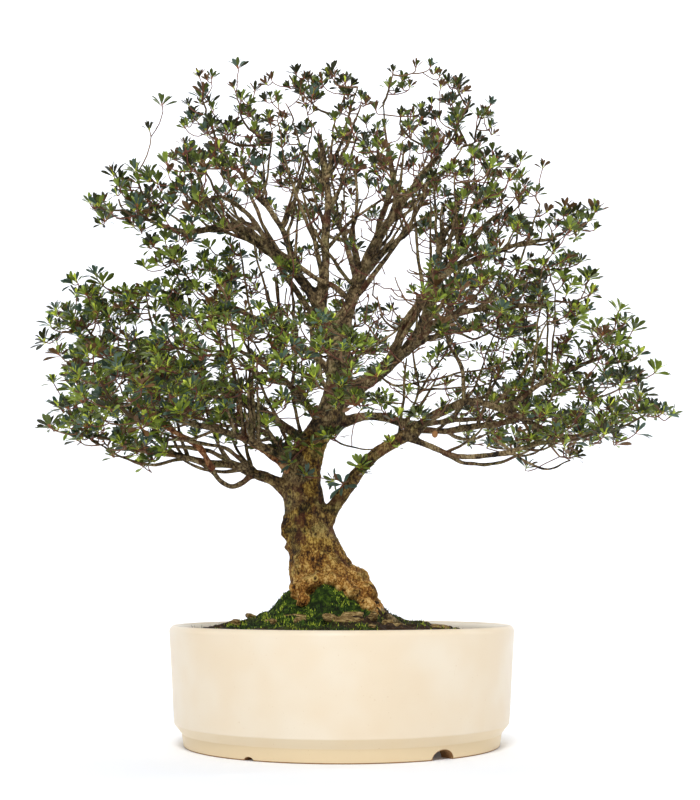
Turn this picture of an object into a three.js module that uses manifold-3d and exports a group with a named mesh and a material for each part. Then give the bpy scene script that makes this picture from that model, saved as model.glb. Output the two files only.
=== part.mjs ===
// Azalea trained as a bonsai, standing in a shallow round stoneware pot.
// Millimetres, +Z up. The plant is laid out round the pot's axis, with X across the front and -Y
// towards the viewer, and the whole is then moved so that the origin lies under the middle of it.

import * as THREE from "three";
import { mergeVertices } from "three/addons/utils/BufferGeometryUtils.js";
import Module from "manifold-3d";

const wasm = await Module();
wasm.setup();
const { Manifold, Mesh } = wasm;

// ---------------------------------------------------------------- driving dimensions

const GAP = 0.3; // clearance between two pieces that touch
const LIMB_GAP = 0.35; // the same round a limb, whose many-sided section cuts its corners

const POT = {
  radius: 171, // at the rim
  height: 116,
  waistRadius: 164.5, // foot of the wall, above the step
  waistHeight: 22,
  footRadius: 157, // top of the foot ring
  footHeight: 13,
  soleRadius: 155, // where the foot meets the table
  wall: 9,
  recess: 9, // underside of the floor above the table
  recessRadius: 138,
  floor: 18, // top of the floor
  facets: 40,
};
// Drain slots through the foot ring: compass angle in degrees, width at the table and height.
const NOTCHES = [
  { angle: -54, width: 24, height: 9 },
  { angle: -122, width: 10, height: 4 },
  { angle: 130, width: 19, height: 9 },
  { angle: 50, width: 19, height: 9 },
];

// Soil surface as distance from the axis and height: a mossy mound round the trunk's foot.
const MOUND = [
  [161.3, 107],
  [120, 114],
  [88, 121],
  [62, 131],
  [40, 148],
];

const SEAT = 112; // height of the trunk's flat cut
// Trunk stations from the cut to the fork: centre [x, y, z] and radius.
const TRUNK = [
  { at: [-3, 0, SEAT], radius: 50 },
  { at: [-6, 0, 136], radius: 45.5 },
  { at: [-12, 0, 156], radius: 40 },
  { at: [-19, 0, 172], radius: 34.5 },
  { at: [-24, 0, 187], radius: 29 },
  { at: [-30, 0, 204], radius: 24 },
  { at: [-37, 0, 232], radius: 21 },
  { at: [-41, 0, 262], radius: 20 },
  { at: [-34, 0, 293], radius: 17.5 },
  { at: [-16, 0, 321], radius: 15.5 },
  { at: [-5, 0, 350], radius: 14 },
  { at: [-3, 0, 383], radius: 12 },
  { at: [-6, 0, 418], radius: 10.5 },
];
const TRUNK_SIDES = 16;
// Surface roots: compass angle in degrees and how far each swells the foot.
const ROOTS = [
  { angle: -22, swell: 0.13 },
  { angle: -62, swell: 0.16 },
  { angle: -138, swell: 0.2 },
  { angle: 168, swell: 0.12 },
  { angle: 42, swell: 0.18 },
  { angle: 105, swell: 0.14 },
];
const ROOT_WIDTH = 22; // degrees
const FLARE_TOP = 196; // height where the roots have merged into the trunk

// Boughs: the limb each springs from and how far along it, the points that it bends through, its tip,
// its radius at both ends, and the mass of foliage on its tip, as the mass's middle and its reach
// along x, y and z.
const BOUGHS = {
  low_right: {
    on: "trunk",
    from: 0.3,
    via: [[3, -8, 250], [36, -17, 287]],
    tip: [72, -25, 307],
    girth: [8.5, 7],
  },
  low_right_reach: {
    on: "low_right",
    from: 0.98,
    via: [[122, -27, 337], [165, -30, 325]],
    tip: [212, -32, 303],
    girth: [5.6, 3.4],
    mass: { at: [285, -32, 335], reach: [73, 58, 52] },
  },
  low_right_droop: {
    on: "low_right",
    from: 0.94,
    via: [[110, -46, 281], [150, -54, 281]],
    tip: [184, -56, 290],
    girth: [3.6, 2.6],
    mass: { at: [232, -64, 305], reach: [50, 44, 34] },
  },
  arch: {
    on: "trunk",
    from: 0.66,
    via: [[10, 4, 323], [45, 10, 325], [84, 14, 312]],
    tip: [150, 22, 318],
    girth: [6.4, 3.8],
    mass: { at: [205, 34, 350], reach: [65, 60, 45] },
  },
  right_climb: {
    on: "trunk",
    from: 0.75,
    via: [[30, 3, 366], [78, 10, 411], [97, 20, 470]],
    tip: [104, 26, 512],
    girth: [9.5, 4],
    mass: { at: [124, 36, 562], reach: [56, 56, 54] },
  },
  right_fan: {
    on: "right_climb",
    from: 0.34,
    via: [[68, -14, 425], [96, -27, 460]],
    tip: [130, -35, 500],
    girth: [5.5, 3.2],
    mass: { at: [162, -44, 545], reach: [58, 52, 46] },
  },
  right_outer: {
    on: "right_climb",
    from: 0.54,
    via: [[120, 8, 434]],
    tip: [170, 6, 440],
    girth: [4.6, 3],
    mass: { at: [228, 6, 455], reach: [65, 58, 42] },
  },
  right_shelf: {
    on: "right_fan",
    from: 0.68,
    via: [[140, -16, 487]],
    tip: [186, -4, 504],
    girth: [3.4, 2.6],
    mass: { at: [236, 4, 523], reach: [53, 46, 33] },
  },
  far_right_high: {
    on: "low_right_reach",
    from: 0.64,
    via: [[200, -16, 357]],
    tip: [236, -6, 374],
    girth: [3.6, 2.6],
    mass: { at: [283, 4, 404], reach: [57, 54, 40] },
  },
  leader_right: {
    on: "trunk",
    from: 0.96,
    via: [[8, 4, 440], [16, 7, 464], [30, 9, 500]],
    tip: [78, 14, 575],
    girth: [9, 4.6],
    mass: { at: [112, 15, 634], reach: [64, 60, 60] },
  },
  top_right_back: {
    on: "leader_right",
    from: 0.38,
    via: [[48, 45, 512]],
    tip: [78, 80, 545],
    girth: [4.6, 3],
    mass: { at: [108, 116, 590], reach: [60, 56, 50] },
  },
  leader_left: {
    on: "trunk",
    from: 0.95,
    via: [[-26, -3, 442], [-43, -6, 467], [-77, -12, 499], [-112, -17, 519]],
    tip: [-150, -20, 513],
    girth: [8.5, 3.6],
    mass: { at: [-212, -18, 541], reach: [66, 58, 40] },
  },
  centre_leader: {
    on: "leader_left",
    from: 0.21,
    via: [[-18, -6, 485], [-15, -8, 545]],
    tip: [-19, -8, 588],
    girth: [6.5, 4.2],
    mass: { at: [-24, -8, 645], reach: [58, 58, 62] },
  },
  upper_left_mid: {
    on: "leader_left",
    from: 0.39,
    via: [[-62, 12, 520]],
    tip: [-92, 28, 572],
    girth: [4.8, 3],
    mass: { at: [-128, 34, 628], reach: [70, 60, 64] },
  },
  upper_left_front: {
    on: "leader_left",
    from: 0.51,
    via: [[-80, -45, 505]],
    tip: [-98, -68, 522],
    girth: [3.8, 2.6],
    mass: { at: [-128, -90, 548], reach: [56, 50, 42] },
  },
  low_left: {
    on: "trunk",
    from: 0.41,
    via: [[-68, -8, 257], [-98, -18, 270], [-143, -26, 277]],
    tip: [-182, -34, 286],
    girth: [7.4, 3.4],
    mass: { at: [-243, -42, 314], reach: [72, 60, 42] },
  },
  low_left_front: {
    on: "trunk",
    from: 0.49,
    via: [[-75, -35, 288], [-110, -58, 303]],
    tip: [-140, -76, 308],
    girth: [6, 3.2],
    mass: { at: [-188, -102, 336], reach: [66, 56, 48] },
  },
  low_left_back: {
    on: "trunk",
    from: 0.53,
    via: [[-70, 35, 305], [-106, 60, 325]],
    tip: [-134, 78, 336],
    girth: [5.2, 3],
    mass: { at: [-184, 110, 372], reach: [70, 62, 50] },
  },
  outer_left: {
    on: "trunk",
    from: 0.59,
    via: [[-85, 12, 335], [-150, 12, 365]],
    tip: [-205, 4, 384],
    girth: [5.4, 2.8],
    mass: { at: [-262, 0, 424], reach: [60, 58, 53] },
  },
  mid_left: {
    on: "trunk",
    from: 0.82,
    via: [[-32, 2, 390], [-60, 4, 411]],
    tip: [-100, 8, 434],
    girth: [5.2, 3],
    mass: { at: [-160, 12, 468], reach: [66, 60, 52] },
  },
  mid_left_front: {
    on: "trunk",
    from: 0.67,
    via: [[-45, -40, 345]],
    tip: [-72, -72, 364],
    girth: [5, 3.2],
    mass: { at: [-112, -110, 396], reach: [60, 54, 45] },
  },
  front_centre: {
    on: "trunk",
    from: 0.76,
    via: [[-2, -45, 360]],
    tip: [-4, -80, 368],
    girth: [4.6, 3],
    mass: { at: [-20, -126, 388], reach: [58, 54, 45] },
  },
  front_right: {
    on: "right_climb",
    from: 0.21,
    via: [[60, -35, 385]],
    tip: [84, -68, 400],
    girth: [4.2, 2.8],
    mass: { at: [114, -108, 428], reach: [58, 52, 42] },
  },
  back_centre: {
    on: "trunk",
    from: 0.81,
    via: [[-2, 50, 385]],
    tip: [-2, 95, 405],
    girth: [5.5, 3.4],
    mass: { at: [-10, 152, 440], reach: [76, 62, 58] },
  },
  back_right: {
    on: "right_climb",
    from: 0.39,
    via: [[95, 50, 415]],
    tip: [126, 86, 430],
    girth: [4.6, 3],
    mass: { at: [166, 124, 456], reach: [68, 60, 52] },
  },
  back_low_right: {
    on: "arch",
    from: 0.47,
    via: [[95, 55, 325]],
    tip: [128, 88, 332],
    girth: [4, 2.8],
    mass: { at: [172, 124, 350], reach: [68, 58, 46] },
  },
  top_back: {
    on: "leader_right",
    from: 0.33,
    via: [[5, 50, 515]],
    tip: [-5, 82, 553],
    girth: [4.6, 3],
    mass: { at: [-22, 116, 600], reach: [66, 60, 55] },
  },
  upper_front: {
    on: "leader_right",
    from: 0.49,
    via: [[40, -35, 525]],
    tip: [46, -62, 540],
    girth: [4, 2.8],
    mass: { at: [55, -95, 575], reach: [60, 52, 46] },
  },
};

// One shoot is a twig with a rosette of leaves at its tip. These leaves are larger than life, and
// each stands for two or three real ones.
const SHOOTS = 7; // tried per mass, each with three leaves
const LEAF = { length: 31, width: 14, thickness: 1.4, opening: 56 };
const TWIG = { tipRadius: 1.1, cone: 1.6, growth: 0.42, sides: 3 };
const DROOP = 0.3; // how far below its middle a mass still carries shoots, as a cosine
const GOLDEN = Math.PI * (3 - Math.sqrt(5));
const MARGIN = 0.05; // clearance between the spaces of two masses, as a share of their reach

const COLOURS = {
  glaze: [0xf1e2c6, 0.25],
  soil: [0x2f3a1c, 0.95],
  bark: [0x6f5535, 0.9],
  foliage: [0x2f4a22, 0.5],
};

// ---------------------------------------------------------------- helpers

const point = (p) => new THREE.Vector3(...p);
const degrees = THREE.MathUtils.degToRad;

// A repeatable run of numbers from 0 to 1.
function seeded(seed) {
  let state = (seed * 7919 + 17) >>> 0;
  return () => {
    state = (Math.imul(state, 1664525) + 1013904223) >>> 0;
    return state / 4294967296;
  };
}

function toSolid(geometry) {
  const bare = geometry.clone();
  bare.deleteAttribute("normal");
  bare.deleteAttribute("uv");
  const merged = mergeVertices(bare, 1e-3);
  return new Manifold(
    new Mesh({
      numProp: 3,
      vertProperties: merged.attributes.position.array,
      triVerts: new Uint32Array(merged.index.array),
    }),
  );
}

function toGeometry(solid) {
  const { vertProperties, triVerts } = solid.getMesh();
  const geometry = new THREE.BufferGeometry();
  geometry.setAttribute("position", new THREE.BufferAttribute(vertProperties, 3));
  geometry.setIndex(new THREE.BufferAttribute(triVerts, 1));
  geometry.computeVertexNormals();
  return geometry;
}

// A cut can leave crumbs behind: the largest piece is the part.
function largest(solid) {
  const pieces = solid.decompose();
  return pieces.reduce((best, piece) => (piece.volume() > best.volume() ? piece : best));
}

// A closed skin over rings of equally many points, fanned shut at both ends.
function loft(rings) {
  const sides = rings[0].length;
  const middle = (ring) =>
    ring.reduce((sum, p) => sum.add(p), new THREE.Vector3()).divideScalar(sides);
  const points = [...rings.flat(), middle(rings[0]), middle(rings.at(-1))];
  const first = points.length - 2;
  const last = points.length - 1;
  const top = (rings.length - 1) * sides;
  const faces = [];
  for (let i = 0; i < sides; i++) {
    const j = (i + 1) % sides;
    for (let row = 0; row < top; row += sides)
      faces.push(row + i, row + j, row + sides + i, row + j, row + sides + j, row + sides + i);
    faces.push(first, j, i, last, top + i, top + j);
  }
  const geometry = new THREE.BufferGeometry().setFromPoints(points);
  return geometry.setIndex(faces);
}

// Rings round a curve, with the radius given along it and at an angle round it.
function ringsAlong(curve, steps, sides, radiusAt) {
  const { normals, binormals } = curve.computeFrenetFrames(steps);
  return normals.map((normal, k) => {
    const t = k / steps;
    const centre = curve.getPointAt(t);
    return Array.from({ length: sides }, (_, i) => {
      const angle = (2 * Math.PI * i) / sides;
      const radius = radiusAt(t, angle);
      return centre
        .clone()
        .addScaledVector(normal, radius * Math.cos(angle))
        .addScaledVector(binormals[k], radius * Math.sin(angle));
    });
  });
}

// ---------------------------------------------------------------- pot and soil

function turned(profile) {
  const outline = profile.map(([r, z]) => new THREE.Vector2(r, z));
  return toSolid(new THREE.LatheGeometry(outline, POT.facets).rotateX(Math.PI / 2));
}

function pot() {
  const rim = POT.height;
  const inside = POT.radius - POT.wall;
  const body = turned([
    [0, POT.recess],
    [POT.recessRadius, POT.recess],
    [POT.recessRadius + 1, 0],
    [POT.soleRadius, 0],
    [POT.footRadius, POT.footHeight],
    [POT.waistRadius, POT.waistHeight],
    [POT.radius, rim - 4],
    [POT.radius - 3, rim],
    [inside + 3, rim],
    [inside, rim - 4],
    [POT.waistRadius - POT.wall, POT.waistHeight + 8],
    [POT.waistRadius - POT.wall - 8, POT.floor],
    [0, POT.floor],
  ]);
  return body.subtract(Manifold.union(NOTCHES.map(notch)));
}

function notch({ angle, width, height }) {
  const half = width / 2;
  const mouth = new THREE.Shape([
    new THREE.Vector2(-half, -2),
    new THREE.Vector2(half, -2),
    new THREE.Vector2(0.6 * half, height),
    new THREE.Vector2(-0.6 * half, height),
  ]);
  const inner = POT.recessRadius - 6;
  const depth = POT.footRadius - inner + 6;
  const slot = new THREE.ExtrudeGeometry(mouth, { depth, bevelEnabled: false });
  slot.translate(0, 0, inner).rotateX(Math.PI / 2).rotateZ(degrees(angle) + Math.PI);
  slot.rotateZ(Math.PI / 2);
  return toSolid(slot);
}

function soil(trunkRoom) {
  const low = POT.floor + GAP;
  const corner = POT.waistRadius - POT.wall;
  const bed = turned([
    [0, low],
    [corner - 8.5, low],
    [corner - 0.4, POT.waistHeight + 8.2],
    ...MOUND,
    [0, MOUND.at(-1)[1]],
  ]);
  return largest(bed.subtract(trunkRoom));
}

// ---------------------------------------------------------------- trunk and boughs

const trunkLine = new THREE.CatmullRomCurve3(TRUNK.map(({ at }) => point(at)));

// The trunk's radius at a height, from the stations.
function trunkRadius(z) {
  const above = TRUNK.findIndex(({ at }) => at[2] >= z);
  if (above <= 0) return TRUNK.at(above).radius;
  const [a, b] = [TRUNK[above - 1], TRUNK[above]];
  return THREE.MathUtils.mapLinear(z, a.at[2], b.at[2], a.radius, b.radius);
}

// Swelling of the foot over its surface roots, 1 where there is none.
function rootSwell(z, angle) {
  const share = 1 - THREE.MathUtils.smoothstep(z, SEAT, FLARE_TOP);
  const swell = ROOTS.reduce((sum, root) => {
    const turn = THREE.MathUtils.euclideanModulo(
      THREE.MathUtils.radToDeg(angle) - root.angle + 180, 360) - 180;
    return sum + root.swell * Math.exp(-((turn / ROOT_WIDTH) ** 2));
  }, -0.08);
  return 1 + share * swell;
}

// Level rings up the trunk; `extra` grows it evenly, for the room that other pieces leave it.
function trunk(extra = 0) {
  const stations = 17;
  const rings = Array.from({ length: stations + 1 }, (_, k) => {
    const centre = trunkLine.getPointAt(k / stations);
    const z = centre.z + (k === 0 ? -extra : k === stations ? extra : 0);
    return Array.from({ length: TRUNK_SIDES }, (_, i) => {
      const angle = (2 * Math.PI * i) / TRUNK_SIDES;
      const radius = trunkRadius(centre.z) * rootSwell(centre.z, angle) + extra * 1.15;
      return new THREE.Vector3(
        centre.x + radius * Math.cos(angle), centre.y + radius * Math.sin(angle), z);
    });
  });
  return toSolid(loft(rings));
}

const limbs = [];
for (const [name, bough] of Object.entries(BOUGHS)) {
  const parent = limbs.find((limb) => limb.name === bough.on);
  const start = (parent?.curve ?? trunkLine).getPointAt(bough.from);
  const tip = point(bough.tip);
  const curve = new THREE.CatmullRomCurve3([start, ...bough.via.map(point), tip]);
  limbs.push({ ...bough, name, tip, curve, length: curve.getLength(), direction: curve.getTangentAt(1) });
}

const limbRadius = (limb, t) => THREE.MathUtils.lerp(limb.girth[0], limb.girth[1], t);

function limbSolid(limb, extra = 0) {
  const sides = limb.girth[0] > 5 ? 7 : 5;
  const steps = Math.max(3, Math.round(limb.length / 34));
  const spread = extra / Math.cos(Math.PI / sides);
  const rings = ringsAlong(limb.curve, steps, sides, (t) => limbRadius(limb, t) + spread);
  rings.at(-1).forEach((p) => p.addScaledVector(limb.direction, extra));
  return toSolid(loft(rings));
}

// ---------------------------------------------------------------- foliage

const masses = limbs.filter((limb) => limb.mass);

// A stem leads from its bough's tip into the mass, to a hub below the middle.
for (const limb of masses) {
  const { at, reach } = limb.mass;
  const root = limb.tip.clone().addScaledVector(limb.direction, GAP);
  const hub = new THREE.Vector3(at[0], at[1], at[2] - 0.3 * reach[2]).lerp(root, 0.25);
  const bend = root.clone().addScaledVector(limb.direction, 0.4 * root.distanceTo(hub));
  limb.stem = new THREE.QuadraticBezierCurve3(root, bend, hub);
}

// Trunk, boughs and stems as balls along their lines, to keep twigs and leaves off them.
const balls = (owner, curve, radiusAt) => {
  const steps = Math.ceil(curve.getLength() / 4);
  return curve.getSpacedPoints(steps).map((at, k) => ({ owner, at, radius: radiusAt(k / steps, at) }));
};
const guards = [
  ...balls("trunk", trunkLine, (t, at) => trunkRadius(at.z) * rootSwell(at.z, 0)),
  ...limbs.flatMap((limb) => balls("bough", limb.curve, (t) => limbRadius(limb, t))),
  ...masses.flatMap((limb) => balls(limb.name, limb.stem, () => limb.girth[1])),
];
const GUARD_CLEARANCE = 2;

function touchesWood(p, own) {
  return guards.some(
    ({ owner, at, radius }) =>
      owner !== own && at.distanceToSquared(p) < (radius + GUARD_CLEARANCE) ** 2,
  );
}

// How far out a place lies in a mass: 0 in its middle and 1 at its reach.
function outness(p, { at, reach }) {
  return Math.hypot((p.x - at[0]) / reach[0], (p.y - at[1]) / reach[1], (p.z - at[2]) / reach[2]);
}

// A place is free for a twig or a leaf if it is clear of the wood and lies nearer to its own mass,
// by their reaches, than to any other.
function isFree(p, limb) {
  const limit = outness(p, limb.mass) + MARGIN;
  return (
    masses.every((other) => other === limb || outness(p, other.mass) > limit) &&
    !touchesWood(p, limb.name)
  );
}

// The shoots' tips stand evenly over a mass's upper side, wound round it by the golden angle.
function shootTips(limb, random) {
  const { at, reach } = limb.mass;
  const phase = 2 * Math.PI * random();
  const tips = Array.from({ length: SHOOTS }, (_, i) => {
    const rise = 1 - ((1 + DROOP) * (i + 0.5)) / SHOOTS;
    const round = Math.sqrt(1 - rise * rise);
    const turn = i * GOLDEN + phase;
    const out = new THREE.Vector3(round * Math.cos(turn), round * Math.sin(turn), rise);
    const depth = 0.75 + 0.25 * random();
    const inset = reach.map((r) => depth * (r - 0.6 * LEAF.length));
    const tip = new THREE.Vector3(
      at[0] + out.x * inset[0], at[1] + out.y * inset[1], at[2] + out.z * inset[2]);
    const axis = out.clone().multiplyScalar(0.6).add(new THREE.Vector3(0, 0, 0.7)).normalize();
    return { tip, axis };
  });
  return tips.filter(({ tip }) => isFree(tip, limb));
}

// Grows one mass: a stem from its bough's tip, and a shoot to each shoot tip in turn, nearest first,
// from the fork that makes the shortest way back to the stem.
function growMass(limb, index) {
  const random = seeded(index);
  const stem = { curve: limb.stem, parent: null, load: 0 };
  const [root, elbow, hub] = stem.curve.getSpacedPoints(2);
  const forks = [elbow, elbow.clone().lerp(hub, 0.5), elbow.clone().lerp(hub, 0.96)].map((at) => {
    return { twig: stem, at, way: root.distanceTo(at) };
  });
  const shoots = [];
  const tips = shootTips(limb, random).sort(
    (a, b) => a.tip.distanceTo(root) - b.tip.distanceTo(root),
  );
  for (const { tip, axis } of tips) {
    const cost = (fork) => fork.at.distanceTo(tip) + 0.35 * fork.way;
    const fork = forks.reduce((best, next) => (cost(next) < cost(best) ? next : best));
    const span = fork.at.distanceTo(tip);
    const knee = tip.clone().addScaledVector(axis, -0.4 * span);
    const curve = new THREE.QuadraticBezierCurve3(fork.at, knee, tip);
    const clear = [0.4, 0.6, 0.8].every((t) => isFree(curve.getPoint(t), limb));
    if (!clear) continue;
    const shoot = { curve, parent: fork.twig, load: 1 };
    for (let up = fork.twig; up; up = up.parent) up.load++;
    shoots.push(shoot);
    const [, middle, end] = curve.getSpacedPoints(2);
    forks.push({ twig: shoot, at: fork.at.clone().lerp(middle, 0.7), way: fork.way + 0.35 * span });
    forks.push({ twig: shoot, at: middle.clone().lerp(end, 0.3), way: fork.way + 0.65 * span });
  }
  const solids = shoots.map((shoot) => shootSolid(shoot, limb, random));
  return largest(Manifold.union([stemSolid(stem, limb), ...solids]));
}

// Twigs thicken with the number of shoots that they carry.
const thickness = (load) => TWIG.tipRadius * load ** TWIG.growth;

function stemSolid({ curve, load }, limb) {
  const [start, end] = [limb.girth[1] * 0.85, thickness(load) * 0.8];
  const radiusAt = (t) => THREE.MathUtils.lerp(start, end, t);
  return toSolid(loft(ringsAlong(curve, 2, TWIG.sides, radiusAt)));
}

// A shoot is a three-sided twig with a cone on its end, and each side of the cone carries a leaf.
function shootSolid({ curve, load }, limb, random) {
  const radiusAt = (t) => THREE.MathUtils.lerp(thickness(load), TWIG.tipRadius, t);
  const rings = ringsAlong(curve, 2, TWIG.sides, radiusAt);
  const axis = curve.getTangentAt(1);
  const points = [...rings.flat(), curve.getPoint(1).addScaledVector(axis, TWIG.cone)];
  const apex = points.length - 1;
  const top = apex - TWIG.sides;
  const faces = [0, 2, 1];
  for (let i = 0; i < TWIG.sides; i++) {
    const j = (i + 1) % TWIG.sides;
    for (let row = 0; row < top; row += TWIG.sides)
      faces.push(row + i, row + j, row + 3 + i, row + j, row + 3 + j, row + 3 + i);
    const blade = bladeFrom(points[top + i], points[top + j], axis, random);
    if (!blade.every((p) => isFree(p, limb))) {
      faces.push(apex, top + i, top + j);
      continue;
    }
    const [left, right, ridge, end] = blade.map((_, k) => points.length + k);
    points.push(...blade);
    faces.push(top + i, top + j, right, top + i, right, left);
    faces.push(top + j, apex, ridge, top + j, ridge, right);
    faces.push(apex, top + i, left, apex, left, ridge);
    faces.push(left, right, end, right, ridge, end, ridge, left, end);
  }
  return toSolid(new THREE.BufferGeometry().setFromPoints(points).setIndex(faces));
}

// A leaf blade rising from the edge a-b of a shoot's end: both edges of its widest place, the ridge
// between them and the end.
function bladeFrom(a, b, axis, random) {
  const foot = a.clone().lerp(b, 0.5);
  const across = b.clone().sub(a).normalize();
  const out = across.clone().cross(axis).normalize();
  const opening = degrees(LEAF.opening + 16 * (random() - 0.5));
  const length = LEAF.length * (0.88 + 0.24 * random());
  const along = axis
    .clone()
    .multiplyScalar(Math.cos(opening))
    .addScaledVector(out, Math.sin(opening));
  const up = along.clone().cross(across);
  const widest = foot.clone().addScaledVector(along, 0.58 * length);
  return [
    widest.clone().addScaledVector(across, -LEAF.width / 2),
    widest.clone().addScaledVector(across, LEAF.width / 2),
    widest.clone().addScaledVector(up, LEAF.thickness),
    foot.clone().addScaledVector(along, length),
  ];
}

// ---------------------------------------------------------------- assembly

const plant = new THREE.Group();

function add(name, solid, [colour, roughness]) {
  const material = new THREE.MeshStandardMaterial({ color: colour, roughness, metalness: 0 });
  const mesh = new THREE.Mesh(toGeometry(solid), material);
  mesh.name = name;
  plant.add(mesh);
}

add("pot", pot(), COLOURS.glaze);
add("soil", soil(trunk(LIMB_GAP)), COLOURS.soil);
add("trunk", trunk(), COLOURS.bark);

// Each bough is cut back to the trunk and to the boughs made before it.
let wood = trunk(LIMB_GAP);
for (const limb of limbs) {
  add(`bough_${limb.name}`, largest(limbSolid(limb).subtract(wood)), COLOURS.bark);
  wood = wood.add(limbSolid(limb, LIMB_GAP));
}
masses.forEach((limb, index) => {
  add(`foliage_${limb.name}`, growMass(limb, index), COLOURS.foliage);
});

// The origin goes under the middle of the whole plant, on the table.
const bounds = new THREE.Box3().setFromObject(plant);
const centre = bounds.getCenter(new THREE.Vector3());
plant.position.set(-centre.x, -centre.y, 0);

const bonsai = new THREE.Group();
bonsai.add(plant);

export default bonsai;
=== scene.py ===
"""Looks of a bonsai azalea in a round cream pot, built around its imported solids.

Sizes are in millimetres from the pot's axis, with X across the front and -Y towards the viewer,
until a mesh is made in metres in the frame's own place.
"""

import itertools
import math

import bpy
import numpy as np
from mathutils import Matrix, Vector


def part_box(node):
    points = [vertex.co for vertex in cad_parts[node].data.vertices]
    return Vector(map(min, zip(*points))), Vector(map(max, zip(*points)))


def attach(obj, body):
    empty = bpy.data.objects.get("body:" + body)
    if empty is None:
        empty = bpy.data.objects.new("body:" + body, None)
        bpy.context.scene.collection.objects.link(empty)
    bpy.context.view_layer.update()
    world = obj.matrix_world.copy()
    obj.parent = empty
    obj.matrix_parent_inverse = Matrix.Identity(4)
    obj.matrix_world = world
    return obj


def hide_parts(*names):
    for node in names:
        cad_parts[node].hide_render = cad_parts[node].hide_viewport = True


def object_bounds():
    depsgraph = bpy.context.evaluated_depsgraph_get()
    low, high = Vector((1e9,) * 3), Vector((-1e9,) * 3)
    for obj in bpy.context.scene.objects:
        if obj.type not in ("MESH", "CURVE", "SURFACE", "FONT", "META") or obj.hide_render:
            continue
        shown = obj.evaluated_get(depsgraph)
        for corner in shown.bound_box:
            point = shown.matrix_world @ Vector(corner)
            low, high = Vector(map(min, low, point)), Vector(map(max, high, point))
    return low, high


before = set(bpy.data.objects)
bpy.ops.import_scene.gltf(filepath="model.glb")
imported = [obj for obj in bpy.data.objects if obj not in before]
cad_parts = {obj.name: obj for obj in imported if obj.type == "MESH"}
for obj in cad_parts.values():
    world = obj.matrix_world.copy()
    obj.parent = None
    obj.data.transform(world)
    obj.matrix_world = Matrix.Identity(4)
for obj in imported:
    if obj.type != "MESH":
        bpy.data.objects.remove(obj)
cad_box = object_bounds()

# ---------------------------------------------------------------- driving dimensions

MM = 0.001
pot_low, pot_high = (np.array(corner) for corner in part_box("pot"))
POT_AXIS = np.array([*(pot_low + pot_high)[:2] / 2, 0.0])
POT_RADIUS = (pot_high - pot_low)[0] / 2 / MM
POT_HEIGHT = pot_high[2] / MM

POT_WALL = 9.0
POT_WAIST = {"radius": 164.5, "height": 22.0}
POT_FOOT = {"radius": 157.0, "height": 13.0}
POT_SOLE = 155.0
POT_RECESS = {"radius": 138.0, "height": 9.0}
POT_FLOOR = 18.0
POT_COLUMNS = 192
CORNER_POINTS = 5
# Drain slots through the foot ring: compass angle in degrees, width at the table and height.
NOTCHES = [(-54, 24, 9), (-122, 10, 3.5), (130, 19, 9), (50, 19, 9)]

# Soil surface as distance from the axis and height, and the body of soil below it.
MOUND = [(0, 148), (40, 148), (62, 131), (88, 121), (120, 114), (161.3, 107)]
# Swells and, below zero, hollows of the ground: rise, place across and back, half width and depth.
# In turn: the front hollow of the trunk, its left, the fall to its right, the far right and the
# place of the root's leg.
SWELLS = [
    (9, -18, -46, 16, 12), (11, -56, -22, 12, 22), (-18, 56, -12, 34, 55), (-5, 125, 0, 30, 90),
    (-8, -40, -50, 8, 12),
]
# The ground's rings and columns of points, and its side and floor below.
GROUND = {
    "radius": 161.2, "rings": 110, "columns": 300,
    "below": [(3, POT_FLOOR + 0.3), (147, POT_FLOOR + 0.3), (155, 30.2)],
}

# Moss sprigs: how many are tried and how far from the axis, their height and half width.
MOSS = {"tries": 26000, "within": 158, "height": (1.2, 4.4), "wide": (0.35, 0.8)}

# Bark chips and small stones: place across and back, reach along x, y and z, turn and tilt.
CHIPS = [
    (-44, -60, (11, 5, 2.2), 0.35, 0.5), (-40, -76, (6, 5, 4), 0.5, 0.2),
    (-10, -84, (9, 6, 3.4), 0.9, 0.4), (3, -82, (17, 7, 2.2), 0.12, 0.45),
    (10, -74, (12, 5, 2), -0.25, 0.6), (30, -76, (4, 4, 4), 0.7, 0.1),
    (44, -62, (7, 4, 3.4), -0.9, 0.5), (52, -74, (6, 4, 2.6), 0.3, -0.3),
    (-66, -66, (7, 5, 2.5), 0.9, 0.3), (30, -96, (6, 4, 2.5), 1.3, 0.2),
    (96, -30, (8, 5, 3), 0.4, 0.3), (-92, 18, (8, 5, 2.6), 1.9, 0.4),
    (-20, 96, (12, 5, 2.6), 2.4, 0.3), (58, 84, (9, 6, 3), 0.8, 0.2),
    (104, 44, (7, 5, 3), 2.9, 0.3), (-104, -40, (6, 5, 2.4), 0.1, 0.2),
]

SEAT = 112.0  # height of the trunk's flat cut
# Trunk stations from the cut to the fork: centre x, y, z and radius.
TRUNK = np.array([
    (-3, 0, SEAT, 50), (-6, 0, 136, 45.5), (-12, 0, 156, 40), (-19, 0, 172, 34.5),
    (-24, 0, 187, 29), (-30, 0, 204, 24), (-37, 0, 232, 21), (-41, 0, 262, 20),
    (-34, 0, 293, 17.5), (-16, 0, 321, 15.5), (-5, 0, 350, 14), (-3, 0, 383, 12),
    (-6, 0, 418, 10.5),
], float)
# Surface roots: compass angle in degrees and how far each swells the foot.
ROOTS = [(-22, 0.13), (-62, 0.16), (-138, 0.2), (168, 0.12), (42, 0.18), (105, 0.14)]
ROOT_WIDTH = 22.0
FLARE_TOP = 196.0
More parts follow.
